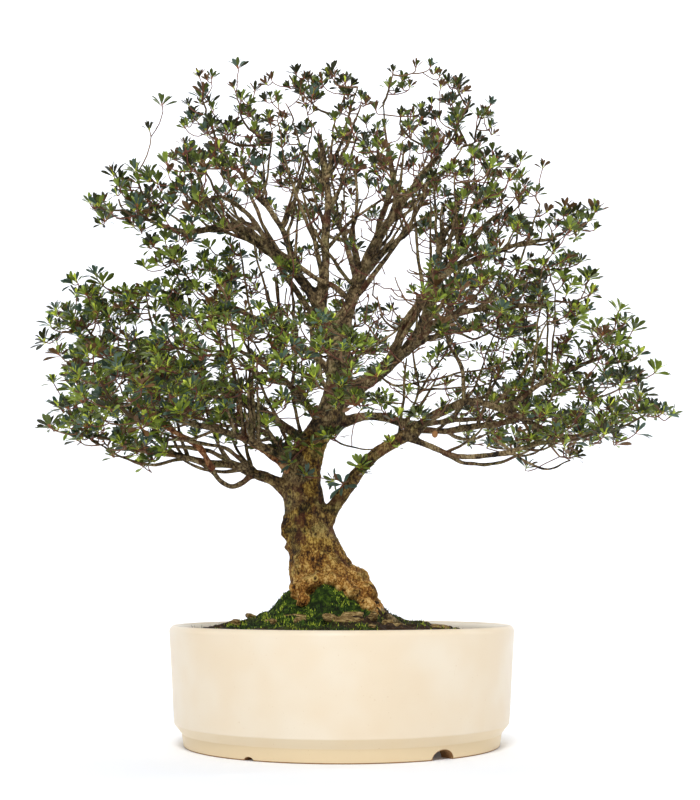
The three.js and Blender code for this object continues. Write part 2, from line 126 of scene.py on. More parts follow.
# Burls, old cuts and hollows on the trunk: compass angle in degrees, height, half width, half
# height, and how far each stands out (or, below zero, sinks in).
BURLS = [
    (-97, 134, 17, 17, -13), (-100, 157, 18, 5, 5), (-80, 163, 14, 7, 4), (-118, 160, 8, 7, 3),
    (-138, 150, 8, 7, 5), (-136, 136, 8, 8, 6), (-56, 142, 11, 9, 5), (-48, 128, 10, 8, 7),
    (-20, 172, 12, 10, -2), (-35, 152, 26, 10, -3), (180, 211, 6, 9, 8), (180, 211, 3, 5, -6),
    (174, 194, 6, 4, 4), (-112, 204, 5, 5, 3), (-112, 204, 2.2, 2.2, -4), (-78, 222, 6, 6, 3),
    (-104, 236, 5, 5, 4), (-104, 236, 2, 2, -3), (-60, 208, 7, 9, 3), (-125, 178, 9, 10, 4),
    (-90, 262, 7, 9, 3), (80, 170, 22, 14, 6), (120, 140, 18, 12, 7), (60, 225, 8, 9, 4),
    (100, 290, 6, 7, 3),
]

# Knuckles of root and burl that stand out of the trunk: middle and half sizes along x, y and z.
KNUCKLES = [
    (4, -6, 148, 28, 28, 30), (24, -26, 146, 11, 12, 12), (22, -42, 134, 10, 9, 8),
    (12, -38, 146, 9, 8, 7), (1, -36, 155, 10, 8, 7), (-11, -37, 160, 11, 8, 6),
    (-24, -37, 160, 9, 7, 6), (-35, -37, 156, 7, 7, 7), (-45, -36, 152, 5, 5, 5),
    (-38, -43, 141, 6.5, 6, 7.5), (-54, -4, 211, 8, 8, 12), (-52, 4, 134, 8, 12, 12),
    (10, 40, 128, 14, 11, 10), (-32, 38, 130, 11, 9, 12),
]

# Boughs, as the solids' source has them: the limb each springs from and how far along it, the
# points that it bends through with its tip last, its radius at both ends, and the middle and the
# reach of the mass of foliage on its tip.
BOUGHS = {
    "low_right": ("trunk", 0.3, [(3, -8, 250), (36, -17, 287), (72, -25, 307)], (8.5, 7)),
    "low_right_reach": (
        "low_right", 0.98, [(122, -27, 337), (165, -30, 325), (212, -32, 303)], (5.6, 3.4),
        (285, -32, 335), (73, 58, 52)),
    "low_right_droop": (
        "low_right", 0.94, [(110, -46, 281), (150, -54, 281), (184, -56, 290)], (3.6, 2.6),
        (232, -64, 305), (50, 44, 34)),
    "arch": (
        "trunk", 0.66, [(10, 4, 323), (45, 10, 325), (84, 14, 312), (150, 22, 318)], (6.4, 3.8),
        (205, 34, 350), (65, 60, 45)),
    "right_climb": (
        "trunk", 0.75, [(30, 3, 366), (78, 10, 411), (97, 20, 470), (104, 26, 512)], (9.5, 4),
        (124, 36, 562), (56, 56, 54)),
    "right_fan": (
        "right_climb", 0.34, [(68, -14, 425), (96, -27, 460), (130, -35, 500)], (5.5, 3.2),
        (162, -44, 545), (58, 52, 46)),
    "right_outer": (
        "right_climb", 0.54, [(120, 8, 434), (170, 6, 440)], (4.6, 3),
        (228, 6, 455), (65, 58, 42)),
    "right_shelf": (
        "right_fan", 0.68, [(140, -16, 487), (186, -4, 504)], (3.4, 2.6),
        (236, 4, 523), (53, 46, 33)),
    "far_right_high": (
        "low_right_reach", 0.64, [(200, -16, 357), (236, -6, 374)], (3.6, 2.6),
        (283, 4, 404), (57, 54, 40)),
    "leader_right": (
        "trunk", 0.96, [(8, 4, 440), (16, 7, 464), (30, 9, 500), (78, 14, 575)], (9, 4.6),
        (112, 15, 634), (64, 60, 60)),
    "top_right_back": (
        "leader_right", 0.38, [(48, 45, 512), (78, 80, 545)], (4.6, 3),
        (108, 116, 590), (60, 56, 50)),
    "leader_left": (
        "trunk", 0.95,
        [(-26, -3, 442), (-43, -6, 467), (-77, -12, 499), (-112, -17, 519), (-150, -20, 513)],
        (8.5, 3.6), (-212, -18, 541), (66, 58, 40)),
    "centre_leader": (
        "leader_left", 0.21, [(-18, -6, 485), (-15, -8, 545), (-19, -8, 588)], (6.5, 4.2),
        (-24, -8, 645), (58, 58, 62)),
    "upper_left_mid": (
        "leader_left", 0.39, [(-62, 12, 520), (-92, 28, 572)], (4.8, 3),
        (-128, 34, 628), (70, 60, 64)),
    "upper_left_front": (
        "leader_left", 0.51, [(-80, -45, 505), (-98, -68, 522)], (3.8, 2.6),
        (-128, -90, 548), (56, 50, 42)),
    "low_left": (
        "trunk", 0.41, [(-68, -8, 257), (-98, -18, 270), (-143, -26, 277), (-182, -34, 286)],
        (7.4, 3.4), (-243, -42, 314), (72, 60, 42)),
    "low_left_front": (
        "trunk", 0.49, [(-75, -35, 288), (-110, -58, 303), (-140, -76, 308)], (6, 3.2),
        (-188, -102, 336), (66, 56, 48)),
    "low_left_back": (
        "trunk", 0.53, [(-70, 35, 305), (-106, 60, 325), (-134, 78, 336)], (5.2, 3),
        (-184, 110, 372), (70, 62, 50)),
    "outer_left": (
        "trunk", 0.59, [(-85, 12, 335), (-150, 12, 365), (-205, 4, 384)], (5.4, 2.8),
        (-262, 0, 424), (60, 58, 53)),
    "mid_left": (
        "trunk", 0.82, [(-32, 2, 390), (-60, 4, 411), (-100, 8, 434)], (5.2, 3),
        (-160, 12, 468), (66, 60, 52)),
    "mid_left_front": (
        "trunk", 0.67, [(-45, -40, 345), (-72, -72, 364)], (5, 3.2),
        (-112, -110, 396), (60, 54, 45)),
    "front_centre": (
        "trunk", 0.76, [(-2, -45, 360), (-4, -80, 368)], (4.6, 3),
        (-20, -126, 388), (58, 54, 45)),
    "front_right": (
        "right_climb", 0.21, [(60, -35, 385), (84, -68, 400)], (4.2, 2.8),
        (114, -108, 428), (58, 52, 42)),
    "back_centre": (
        "trunk", 0.81, [(-2, 50, 385), (-2, 95, 405)], (5.5, 3.4),
        (-10, 152, 440), (76, 62, 58)),
    "back_right": (
        "right_climb", 0.39, [(95, 50, 415), (126, 86, 430)], (4.6, 3),
        (166, 124, 456), (68, 60, 52)),
    "back_low_right": (
        "arch", 0.47, [(95, 55, 325), (128, 88, 332)], (4, 2.8),
        (172, 124, 350), (68, 58, 46)),
    "top_back": (
        "leader_right", 0.33, [(5, 50, 515), (-5, 82, 553)], (4.6, 3),
        (-22, 116, 600), (66, 60, 55)),
    "upper_front": (
        "leader_right", 0.49, [(40, -35, 525), (46, -62, 540)], (4, 2.8),
        (55, -95, 575), (60, 52, 46)),
}

# Bare stems and surface roots: whether ruddy, radius at both ends, then the points they pass.
STEMS = [
    (0, 3.1, 1.6, [(-78, -22, 262), (-91, -30, 261), (-98, -34, 256), (-108, -37, 252),
        (-119, -40, 257), (-128, -42, 266), (-135, -43, 273), (-150, -44, 279), (-190, -46, 284),
        (-226, -48, 292)]),
    (1, 3.4, 2.2, [(-126, -42, 268), (-139, -52, 288), (-156, -58, 299), (-176, -64, 311),
        (-188, -68, 323)]),
    (0, 2.4, 1.2, [(-92, -26, 270), (-110, -44, 286), (-140, -58, 292), (-176, -70, 296)]),
    (0, 2.6, 1.4, [(-88, -20, 268), (-112, -34, 277), (-136, -40, 287), (-160, -44, 290),
        (-196, -44, 288)]),
    (1, 3.2, 2.0, [(-54, -18, 268), (-74, -32, 284), (-92, -40, 297), (-100, -44, 318),
        (-104, -48, 344)]),
    (0, 2.2, 1.2, [(-54, -24, 276), (-78, -46, 312), (-96, -60, 330), (-120, -70, 342)]),
    (0, 2.2, 1.1, [(100, -40, 284), (128, -46, 272), (160, -44, 276), (190, -40, 290)]),
    (0, 1.6, 0.8, [(150, -34, 300), (176, -46, 278), (200, -50, 268), (224, -46, 276)]),
    (0, 2.4, 1.2, [(-52, -10, 290), (-70, -40, 330), (-84, -46, 362), (-96, -48, 392)]),
    (0, 2.0, 1.0, [(-40, -12, 300), (-50, -34, 350), (-46, -42, 384), (-54, -46, 420)]),
    (0, 2.3, 1.4, [(121, -30, 332), (121, -34, 350), (120, -34, 368), (109, -35, 390),
        (98, -36, 417), (92, -38, 440)]),
    (0, 1.8, 1.0, [(63, -22, 303), (70, -26, 328), (77, -28, 350), (73, -30, 373),
        (68, -30, 398)]),
    (0, 1.4, 0.8, [(37, -2, 366), (52, -20, 354), (70, -26, 355), (97, -30, 360), (120, -32, 365),
        (147, -32, 370), (168, -32, 378)]),
    (0, 1.2, 0.7, [(77, -28, 348), (107, -30, 350), (140, -30, 353), (158, -26, 362)]),
    (0, 1.3, 0.8, [(77, -28, 345), (90, -34, 366), (104, -36, 384), (112, -36, 404)]),
    (0, 3.6, 2.2, [(42, -2, 376), (60, -14, 404), (74, -20, 426), (87, -22, 447), (94, -24, 474)]),
    (0, 1.6, 1.0, [(4, -10, 376), (22, -20, 388), (44, -22, 402), (59, -22, 416), (78, -22, 438)]),
    (0, 3.0, 2.6, [(-8, -6, 345), (-22, -14, 362), (-25, -16, 381), (-30, -14, 404),
        (-31, -8, 424), (-26, -4, 442)]),
    (0, 2.9, 1.7, [(8, 0, 446), (-6, -14, 455), (-22, -18, 463), (-41, -20, 475), (-61, -24, 489),
        (-80, -28, 502), (-104, -30, 526)]),
    (0, 2.2, 1.3, [(16, 6, 458), (3, -12, 468), (-7, -16, 482), (-20, -18, 499), (-32, -20, 522),
        (-40, -22, 552)]),
    (0, 1.2, 0.7, [(-62, 4, 398), (-52, -8, 410), (-46, -12, 422), (-58, -14, 437),
        (-56, -16, 455)]),
    (0, 1.1, 0.6, [(-48, -10, 420), (-70, -16, 436), (-76, -18, 452)]),
    (0, 1.0, 0.8, [(-14, -12, 306), (-2, -20, 296), (18, -24, 290), (36, -18, 290)]),
    (0, 3.5, 2.0, [(-14, -3, 402), (-36, -18, 436), (-60, -22, 470), (-84, -28, 502),
        (-118, -34, 528)]),
    (0, 3.0, 1.7, [(10, 4, 446), (36, -8, 476), (58, -16, 506), (80, -22, 540), (92, -26, 575)]),
    (0, 2.6, 1.4, [(-21, -6, 468), (-30, -16, 508), (-46, -20, 548), (-60, -22, 592)]),
    (0, 2.5, 1.3, [(18, 8, 470), (10, -8, 508), (16, -14, 550), (8, -16, 594)]),
    (0, 2.4, 1.3, [(-56, -8, 480), (-80, -20, 518), (-98, -26, 560), (-120, -30, 594)]),
    (0, 2.8, 1.5, [(58, 6, 392), (80, -12, 414), (106, -22, 444), (124, -30, 480)]),
    (0, 2.2, 1.2, [(30, 10, 500), (48, -6, 530), (60, -14, 566), (64, -18, 606)]),
    (0, 2.0, 1.1, [(-14, -6, 500), (4, -14, 520), (24, -18, 536), (44, -20, 548)]),
    (0, 5.0, 1.8, [(20, -14, 142), (34, -18, 133), (44, -22, 126), (56, -27, 118),
        (72, -32, 112)]),
]
# Stems that branch from the boughs, one for each gap: their length, and radius at both ends.
SIDE_STEMS = {"gap": 15.0, "length": (36, 96), "thick": 2.2, "tip": 0.8}
# A bough's skin: the step between its rings, how far it flares at its root, is slimmed past it and
# wanders, and its sides.
BOUGH = {"step": 2.6, "flare": 0.2, "slimmed": 0.16, "wander": 2.0, "sides": 16}
CUT = ((92, -36, 303), (3.0, 3.0, 3.6))  # the pruning cut's middle and its reach
LINE_POINTS = 401
STEM_SIDES = 10

# Looser growth between the masses, and places kept open, where the share is below zero: middle,
# reach and share.
LOOSE = [
    ((0, 0, 520), (95, 60, 90), 0.36), ((-95, -16, 350), (80, 55, 50), 0.4),
    ((-95, -20, 316), (64, 50, 32), 0.5), ((95, -6, 400), (75, 45, 50), 0.34),
    ((-60, -20, 440), (60, 45, 50), 0.3), ((150, 0, 480), (60, 50, 50), 0.3),
    ((-10, -115, 432), (66, 74, 40), -1.4), ((-4, -112, 344), (66, 52, 34), 0.5),
    ((-6, 0, 440), (38, 70, 34), -1.0), ((33, 0, 568), (28, 90, 34), -1.1),
    ((112, -20, 418), (40, 110, 26), -0.35), ((-70, -40, 428), (40, 60, 24), -0.35),
    ((124, 0, 606), (50, 60, 40), -0.5), ((-172, 0, 622), (34, 80, 26), -0.5),
    ((-180, -30, 412), (34, 120, 22), -0.6), ((-217, 0, 520), (34, 80, 28), -0.45),
    ((-217, 0, 470), (34, 80, 26), -0.45), ((60, 0, 628), (70, 80, 24), -0.25),
    ((-67, 0, 572), (36, 80, 28), -0.35), ((236, 0, 468), (30, 70, 24), -0.65),
    ((246, 0, 366), (34, 90, 22), -0.3), ((116, 0, 366), (34, 90, 22), -0.25),
    ((228, 0, 516), (42, 60, 26), 0.6), ((84, 0, 519), (30, 90, 26), -0.5),
    ((84, -24, 374), (32, 50, 24), 0.25), ((286, 0, 418), (30, 90, 24), -0.3),
    ((-17, 0, 618), (36, 60, 30), 0.5), ((-45, 0, 486), (34, 60, 26), 0.2),
]
MAIN_SHOOTS = 7  # per mass, at the places that the solids have
MAIN_INSET = 18.6
DROOP = 0.3  # how far below its middle a mass still carries shoots, as a cosine
GOLDEN = math.pi * (3 - math.sqrt(5))
# Outermost shoots of the crown, as x and z, from the low left round the top to the low right.
EDGE_SHOOTS = [
    (-203, 275), (-233, 285), (-268, 301), (-293, 312), (-284, 332), (-290, 357), (-286, 386),
    (-305, 402), (-300, 420), (-278, 470), (-254, 472), (-224, 455), (-262, 548), (-250, 553),
    (-236, 574), (-215, 582), (-202, 628), (-186, 646), (-162, 656), (-150, 682), (-139, 690),
    (-138, 634), (-112, 664), (-108, 686), (-93, 675), (-75, 685), (-51, 680), (-49, 692),
    (-37, 692), (-11, 692), (4, 691), (3, 676), (49, 675), (53, 688), (64, 690), (77, 692),
    (92, 690), (103, 689), (113, 689), (125, 687), (134, 664), (144, 647), (155, 653), (155, 632),
    (172, 600), (186, 595), (206, 580), (217, 547), (234, 547), (244, 545), (268, 547), (251, 493),
    (258, 472), (252, 441), (283, 433), (291, 423), (307, 392), (292, 394), (320, 371), (301, 363),
    (324, 328), (336, 326), (303, 311), (284, 300), (241, 287), (190, 276),
]
# Shoots low on the bare wood: x, y, z and size.
LOW_SHOOTS = [
    (1, -26, 254, 1.2), (-9, -24, 258, 0.9), (18, -28, 272, 1.15), (22, -26, 266, 0.8),
    (-36, -30, 264, 1.1), (-52, -32, 276, 1.0), (-30, -30, 292, 1.2), (-14, -30, 300, 1.2),
    (-44, -26, 300, 1.0), (48, -30, 296, 0.9), (56, -34, 322, 1.1), (76, -40, 322, 1.2),
    (36, -22, 342, 1.0), (66, -30, 345, 1.0), (98, -34, 330, 0.9), (20, -24, 330, 0.9),
]
# How many places are tried for fine shoots, and for the branchlets that come before them.
TRIES, COARSE_TRIES = 30000, 5000
# Branchlets and fine shoots stand where the crown is at least this full; long ones also where it
# isn't fuller than the last value.
LONG = {"gap": 52.0, "from": 0.3, "until": 0.62}
MIDDLE_SIZED = {"gap": 34.0, "from": 0.5}
FULL_FROM = 0.27
# Where leafless twigs show, round the fork and under the right bough: how many, middle, spread.
BARE_TWIGS = [
    (160, (14, -6, 484), (66, 34, 44)), (60, (62, -10, 450), (34, 30, 34)),
    (70, (88, -14, 368), (38, 34, 24)),
]
# How far apart fine shoots stand.
SPACING = {"plain": 25.0, "close": 21.0, "top": 28.0}
LEAFLESS = 0.0  # the size of a shoot without leaves
EDGE = 13.0  # kept free inside the solids' box
EDGE_DEPTH = 28.0  # how far the outermost shoots stand before or behind the trunk
OUTLINE_SLACK = 11.0  # how far past the outermost shoots a fine one may stand, as seen
CLEAR = 5.0  # between wood and a shoot's tip
# A twig's length, and what a fork costs: its twigs' way back, and how far it lies above the tip.
SHORTEST, LONGEST = 6.0, 130.0
WAY_BACK, CLIMB_DOWN = 0.35, 1.2
BARE_TRUNK = 330.0  # below this height no twig springs from the trunk
WOOD_LATTICE = 1.54
CROWN_HEART = np.array([5.0, 0.0, 330.0])
# The viewer, from the pot's axis: sideways, height and distance.
VIEW_X, VIEW_HEIGHT, VIEW_DISTANCE = 8.0, 158.0, 1370.0
VIEW_RISE = 7.65  # degrees above level
VIEW_LENS = 60.975
# A twig: its tip's radius, the power by which it thickens, its rings and sides, and as shares of
# its span how far its end pulls it straight and how far its middle goes astray.
TWIG = {"tip": 0.6, "growth": 0.47, "rings": 6, "sides": 5, "pull": 0.42, "astray": 0.014}
WHORL_DEPTH = 2.56  # how far below the tip a whorl's lowest leaf springs
# Leaves of a whorl: a blade's length and its width's share of that, how many, their angle from the
# axis outside and at the heart, and their chance roll.
LEAF = {"length": 13.6, "width": 0.295, "count": (9, 13), "opening": (74, 20), "roll": 0.4}
YOUNG = {"length": 9.5, "width": 0.3, "count": (3, 5), "opening": (26, 6), "roll": 0.2}
# Shares of the whorls with young leaves, of odd leaves and of whorls with ruddy feet, at least.
YOUNG_SHARE, ODD_SHARE, RUDDY_SHARE = 0.24, 0.3, 0.25
# Side shoots: how many stand by a tip, how far aside and below it, how far they end straight, the
# size of their whorls and how far inside the outline they keep.
TUFT = {
    "count": (0, 2), "aside": (5.0, 9.5), "below": (1.0, 7.0), "straight": 5.0, "size": 0.88,
    "spare": 2.0,
}
LEAF_PIECES = 4


# ---------------------------------------------------------------- numbers


class Draws:
    """The source's repeatable run of numbers from 0 to 1."""

    def __init__(self, seed):
        self.state = (seed * 7919 + 17) % 2**32

    def __call__(self):
        self.state = (self.state * 1664525 + 1013904223) % 2**32
        return self.state / 2**32


def unit(vectors):
    """Each vector divided by its length."""
    return vectors / np.maximum(np.linalg.norm(vectors, axis=-1, keepdims=True), 1e-9)


def smooth_step(values, low, high):
    """0 below low, 1 above high, and 3t^2 - 2t^3 between them."""
    t = np.clip((np.asarray(values, float) - low) / (high - low), 0, 1)
    return t * t * (3 - 2 * t)


def hill(u, v=0.0):
    """A smooth hill of height 1: exp(-u^2 - v^2)."""
    return np.exp(-(u**2) - v**2)


def noise(points, size, seed=0):
    """Smooth chance values from -1 to 1 in space.

    Each corner of a cubic lattice of that size holds a hashed value, and a point blends its eight
    corners by 3t^2 - 2t^3 along each axis.
    """
    scaled = np.asarray(points, float) / size + 512.0
    base = np.floor(scaled).astype(np.int64)
    t = scaled - base
    t = t * t * (3 - 2 * t)
    total = np.zeros(scaled.shape[:-1])
    for corner in itertools.product((0, 1), repeat=3):
        cell = base + np.array(corner)
        mixed = cell[..., 0] * 73856093 ^ cell[..., 1] * 19349663 ^ cell[..., 2] * 83492791
        mixed = (mixed ^ seed * 7368787) & 0xFFFFFFFF
        mixed = (mixed ^ mixed >> 13) * 1274126177 & 0xFFFFFFFF
        mixed = (mixed ^ mixed >> 16) * 668265263 & 0xFFFFFFFF
        share = np.where(np.array(corner) == 1, t, 1 - t).prod(axis=-1)
        total += share * (mixed / 2**31 - 1)
    return total


def wander(points, size, seed):
    """Chance moves along x, y and z, each smooth noise of that size with a seed of its own."""
    return np.stack([noise(points, size, seed + k) for k in range(3)], axis=-1)


def smooth_line(points, count):
    """Evenly spaced points along the centripetal Catmull-Rom curve through the given ones."""
    points = np.asarray(points, float)
    ends = (2 * points[0] - points[1], 2 * points[-1] - points[-2])
    held = np.concatenate([[ends[0]], points, [ends[1]]])
    t = np.linspace(0, 1, 60)[:, None]
    parts = []
    for a, b, c, d in zip(held, held[1:], held[2:], held[3:]):
        ab, bc, cd = (math.sqrt(np.linalg.norm(q - p)) for p, q in ((a, b), (b, c), (c, d)))
        out = ((b - a) / ab - (c - a) / (ab + bc) + (c - b) / bc) * bc
        into = ((c - b) / bc - (d - b) / (bc + cd) + (d - c) / cd) * bc
        cubic = b + out * t + (3 * (c - b) - 2 * out - into) * t**2
        parts.append(cubic + (2 * (b - c) + out + into) * t**3)
    return evenly(np.concatenate(parts), count)


def evenly(line, count):
    """The same line with its points evenly spaced along its length."""
    steps = np.linalg.norm(np.diff(line, axis=0), axis=1)
    way = np.concatenate([[0], np.cumsum(steps)])
    return np.stack(
        [np.interp(np.linspace(0, way[-1], count), way, line[:, k]) for k in range(3)], axis=1
    )


def bezier(start, knee, end, count):
    """Points of the quadratic curve from start, pulled towards knee, to end; arrays of curves
    give arrays of lines."""
    t = np.linspace(0, 1, count)[:, None]
    start, knee, end = (np.asarray(p, float)[..., None, :] for p in (start, knee, end))
    return (1 - t) ** 2 * start + 2 * t * (1 - t) * knee + t**2 * end


def length_of(line):
    """The sum of the line's steps."""
    return np.linalg.norm(np.diff(line, axis=0), axis=1).sum()


# ---------------------------------------------------------------- meshes


def grid_faces(rows, columns):
    """Four-sided faces of a grid whose last column joins its first."""
    corner = np.arange(rows - 1)[:, None] * columns
    left = np.arange(columns)[None, :]
    right = (left + 1) % columns
    quads = [corner + left, corner + right, corner + columns + right, corner + columns + left]
    return np.stack(quads, axis=-1).reshape(-1, 4)


def cap_faces(rows, columns):
    """Triangles that close both ends of such a grid on two poles, which follow its points."""
    left = np.arange(columns)
    right = (left + 1) % columns
    pole = np.full(columns, rows * columns)
    top = (rows - 1) * columns
    first = np.stack([pole, right, left], axis=1)
    return np.concatenate([first, np.stack([pole + 1, top + left, top + right], axis=1)])


def closed_skin(rings, poles):
    """A shape from rings of places, one after another, and a pole past each end."""
    rows, columns = rings.shape[:2]
    vertices = np.concatenate([rings.reshape(-1, 3), poles])
    return vertices, grid_faces(rows, columns), cap_faces(rows, columns)


def repeated(faces, count, step):
    """The same faces for each of many shapes alike, each a step of points on from the last."""
    return (faces[None] + np.arange(count)[:, None, None] * step).reshape(-1, faces.shape[1])


def circle(columns):
    """Angles evenly round a full turn."""
    return np.linspace(0, 2 * math.pi, columns, endpoint=False)


def polar(radius, angles, height):
    """Places at radius x cos of the angles across, radius x sin of them back, and the height."""
    sides = np.broadcast_arrays(radius * np.cos(angles), radius * np.sin(angles), height)
    return np.stack(sides, axis=-1)


def tubes(lines, radii, sides):
    """Closed round tubes along many lines of equally many points.

    A ring is the line's point plus radius times (n cos a + b sin a). n is a fixed direction freed
    of its share along the line, b is the tangent crossed with n, and a pole closes each end.
    """
    lines = np.asarray(lines, float)
    count, rings = lines.shape[:2]
    tangents = unit(np.gradient(lines, axis=1))
    least = np.abs(tangents).mean(axis=1).argmin(axis=1)
    lead = np.eye(3)[least][:, None, :]
    n = unit(lead - (lead * tangents).sum(axis=-1, keepdims=True) * tangents)
    b = np.cross(tangents, n)
    angles = circle(sides)[:, None]
    around = n[:, :, None] * np.cos(angles) + b[:, :, None] * np.sin(angles)
    radii = np.asarray(radii, float)
    radii = radii[..., None] if radii.ndim == 2 else radii
    skin = lines[:, :, None] + around * radii[..., None]
    poles = lines[:, [0, -1]]
    vertices = np.concatenate([skin.reshape(count, rings * sides, 3), poles], axis=1)
    per_tube = rings * sides + 2
    quads = repeated(grid_faces(rings, sides), count, per_tube)
    return vertices.reshape(-1, 3), quads, repeated(cap_faces(rings, sides), count, per_tube)


def place_in_scene(name, data):
    """An object of that data at the origin, linked to the scene."""
    made = bpy.data.objects.new(name, data)
    bpy.context.scene.collection.objects.link(made)
    return made


def mark(mesh, marks):
    """Named values at the mesh's points, for its materials to read."""
    for key, values in marks.items():
        layer = mesh.attributes.new(key, "FLOAT", "POINT")
        layer.data.foreach_set("value", np.asarray(values, np.float32).ravel())


def piece(name, parts, finishes, nodes=(), marks=None, smooth=True):
    """A mesh object from parts: each a shape (places in mm, then sets of faces) and the number of
    its finish, or for each set of faces their numbers."""
    vertices, corners, sizes, slots = [], [], [], []
    start = 0
    for (points, *face_sets), finish in parts:
        finish = [finish] * len(face_sets) if np.isscalar(finish) else finish
        for faces, number in zip(face_sets, finish):
            corners.append((faces + start).ravel())
            sizes.append(np.full(len(faces), faces.shape[1]))
            slots.append(np.broadcast_to(number, len(faces)))
        vertices.append(points)
        start += len(points)
    places = np.concatenate(vertices) * MM + POT_AXIS
    corners = np.concatenate(corners).astype(np.int32)
    sizes = np.concatenate(sizes).astype(np.int32)
    mesh = bpy.data.meshes.new(name)
    mesh.vertices.add(len(places))
    mesh.vertices.foreach_set("co", places.astype(np.float32).ravel())
    mesh.loops.add(len(corners))
    mesh.loops.foreach_set("vertex_index", corners)
    mesh.polygons.add(len(sizes))
    starts = np.concatenate([[0], np.cumsum(sizes)[:-1]]).astype(np.int32)
    mesh.polygons.foreach_set("loop_start", starts)
    for finish in finishes:
        mesh.materials.append(finish)
    mesh.polygons.foreach_set("material_index", np.concatenate(slots).astype(np.int32))
    mesh.polygons.foreach_set("use_smooth", np.full(len(sizes), smooth))
    mesh.update(calc_edges=True)
    mark(mesh, marks or {})
    made = place_in_scene(name, mesh)
    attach(made, "root")
    if nodes:
        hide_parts(*nodes)
    return made


# ---------------------------------------------------------------- finishes


class Wire:
    """A node's output, on which sums read as Python and add Math nodes."""

    def __init__(self, finish, socket):
        self.finish = finish
        self.socket = socket

    def _maths(self, operation, a, b):
        """A Math node on two wires or numbers."""
        return self.finish.node("ShaderNodeMath", {"operation": operation}, {0: a, 1: b})

    def __add__(self, other):
        return self._maths("ADD", self, other)

    def __sub__(self, other):
        return self._maths("SUBTRACT", self, other)

    def __rsub__(self, other):
        return self._maths("SUBTRACT", other, self)

    def __mul__(self, other):
        return self._maths("MULTIPLY", self, other)

    __radd__ = __add__
    __rmul__ = __mul__


def colour(code):
    """A colour's linear values from its six hexadecimal digits."""
    parts = np.array([int(code[k : k + 2], 16) for k in (0, 2, 4)]) / 255
    linear = np.where(parts <= 0.04045, parts / 12.92, ((parts + 0.055) / 1.055) ** 2.4)
    return (*linear, 1.0)


class Finish:
    """A material on a Principled shader, with its fixed values set on the shader's own sockets."""

    def __init__(self, name, **fixed):
        self.material = bpy.data.materials.new(name)
        self.material.use_nodes = True
        self.tree = self.material.node_tree
        self.shader = self.tree.nodes["Principled BSDF"]
        for socket, value in fixed.items():
            self.shader.inputs[socket.replace("_", " ")].default_value = value

    def node(self, kind, settings=None, values=None, out=0):
        """A node of that kind, with its settings, then its sockets' values or links."""
        made = self.tree.nodes.new(kind)
        for key, value in (settings or {}).items():
            if key == "stops":
                self._ramp(made.color_ramp, value)
            else:
                setattr(made, key, value)
        for socket, value in (values or {}).items():
            self.feed(made.inputs[socket], value)
        return Wire(self, made.outputs[out])

    def _ramp(self, ramp, stops):
        """Sets a colour ramp's stops, each a place from 0 to 1 and a colour's code."""
        while len(ramp.elements) < len(stops):
            ramp.elements.new(0.5)
        for element, (place, code) in zip(ramp.elements, stops):
            element.position = place
            element.color = colour(code)

    def feed(self, socket, value):
        """Links a wire to the socket, or sets it to a fixed value or a colour's code."""
        if isinstance(value, Wire):
            self.tree.links.new(value.socket, socket)
        else:
            socket.default_value = colour(value) if isinstance(value, str) else value

    def set(self, socket, value):
        """Feeds one of the shader's own sockets."""
        self.feed(self.shader.inputs[socket], value)

    def place(self, centre=(0, 0, 0), stretch=(1, 1, 1)):
        """Object coordinates, from a centre and stretched."""
        here = self.node("ShaderNodeTexCoord", out="Object")
        moved = self.node(
            "ShaderNodeVectorMath", {"operation": "SUBTRACT"}, {0: here, 1: tuple(centre)}
        )
        return self.node("ShaderNodeVectorMath", {"operation": "MULTIPLY"}, {0: moved, 1: stretch})

    def grain(self, size_mm, detail=3.0, roughness=0.55, stretch=(1, 1, 1)):
        """Cloudy noise of that size, from 0 to 1."""
        values = {
            "Vector": self.place(stretch=stretch),
            "Scale": 1000 / size_mm,
            "Detail": detail,
            "Roughness": roughness,
        }
        return self.node("ShaderNodeTexNoise", values=values)

    def cells(self, size_mm):
        """Distance from the nearest of points strewn that far apart, in parts of that size."""
        values = {"Vector": self.place(), "Scale": 1000 / size_mm}
        return self.node("ShaderNodeTexVoronoi", values=values, out="Distance")

    def ramp(self, factor, stops):
        """A run of colours along the factor."""
        return self.node("ShaderNodeValToRGB", {"stops": stops}, {0: factor})

    def blend(self, factor, a, b):
        """The first colour where the factor is 0, the second where it is 1."""
        return self.node("ShaderNodeMix", {"data_type": "RGBA"}, {0: factor, 6: a, 7: b}, out=2)

    def between(self, value, low, high):
        """0 where value is at low and 1 at high, held outside them."""
        values = {0: value, 1: low, 2: high}
        return self.node("ShaderNodeMapRange", {"interpolation_type": "SMOOTHSTEP"}, values)

    def axis(self, vector, name):
        """One of a vector's X, Y and Z."""
        return self.node("ShaderNodeSeparateXYZ", values={0: vector}, out=name)

    def attribute(self, name):
        """Values marked on the mesh under that name."""
        return self.node("ShaderNodeAttribute", {"attribute_name": name}, out="Fac")

    def bump(self, height, distance_mm):
        """Fine relief whose height, from 0 to 1, stands for that distance."""
        values = {"Height": height, "Distance": distance_mm * MM, "Strength": 1.0}
        self.set("Normal", self.node("ShaderNodeBump", values=values))


# Where the glaze changes, from and to, in metres: by height for the foot, the waist, the painted
# light inside the wall, the sole and the recess's top, and by distance from the axis for the wall,
# recess and slots.
BAND = {
    "foot": (0.0126, 0.0134), "waist": (0.0212, 0.0226), "inside": (0.09, 0.1),
    "wall": (0.1635, 0.1645), "sole": (0.0006, 0.0016), "recess": (0.1515, 0.1535),
    "recess_top": (0.016, 0.018), "slot": (0.1, 0.11),
}


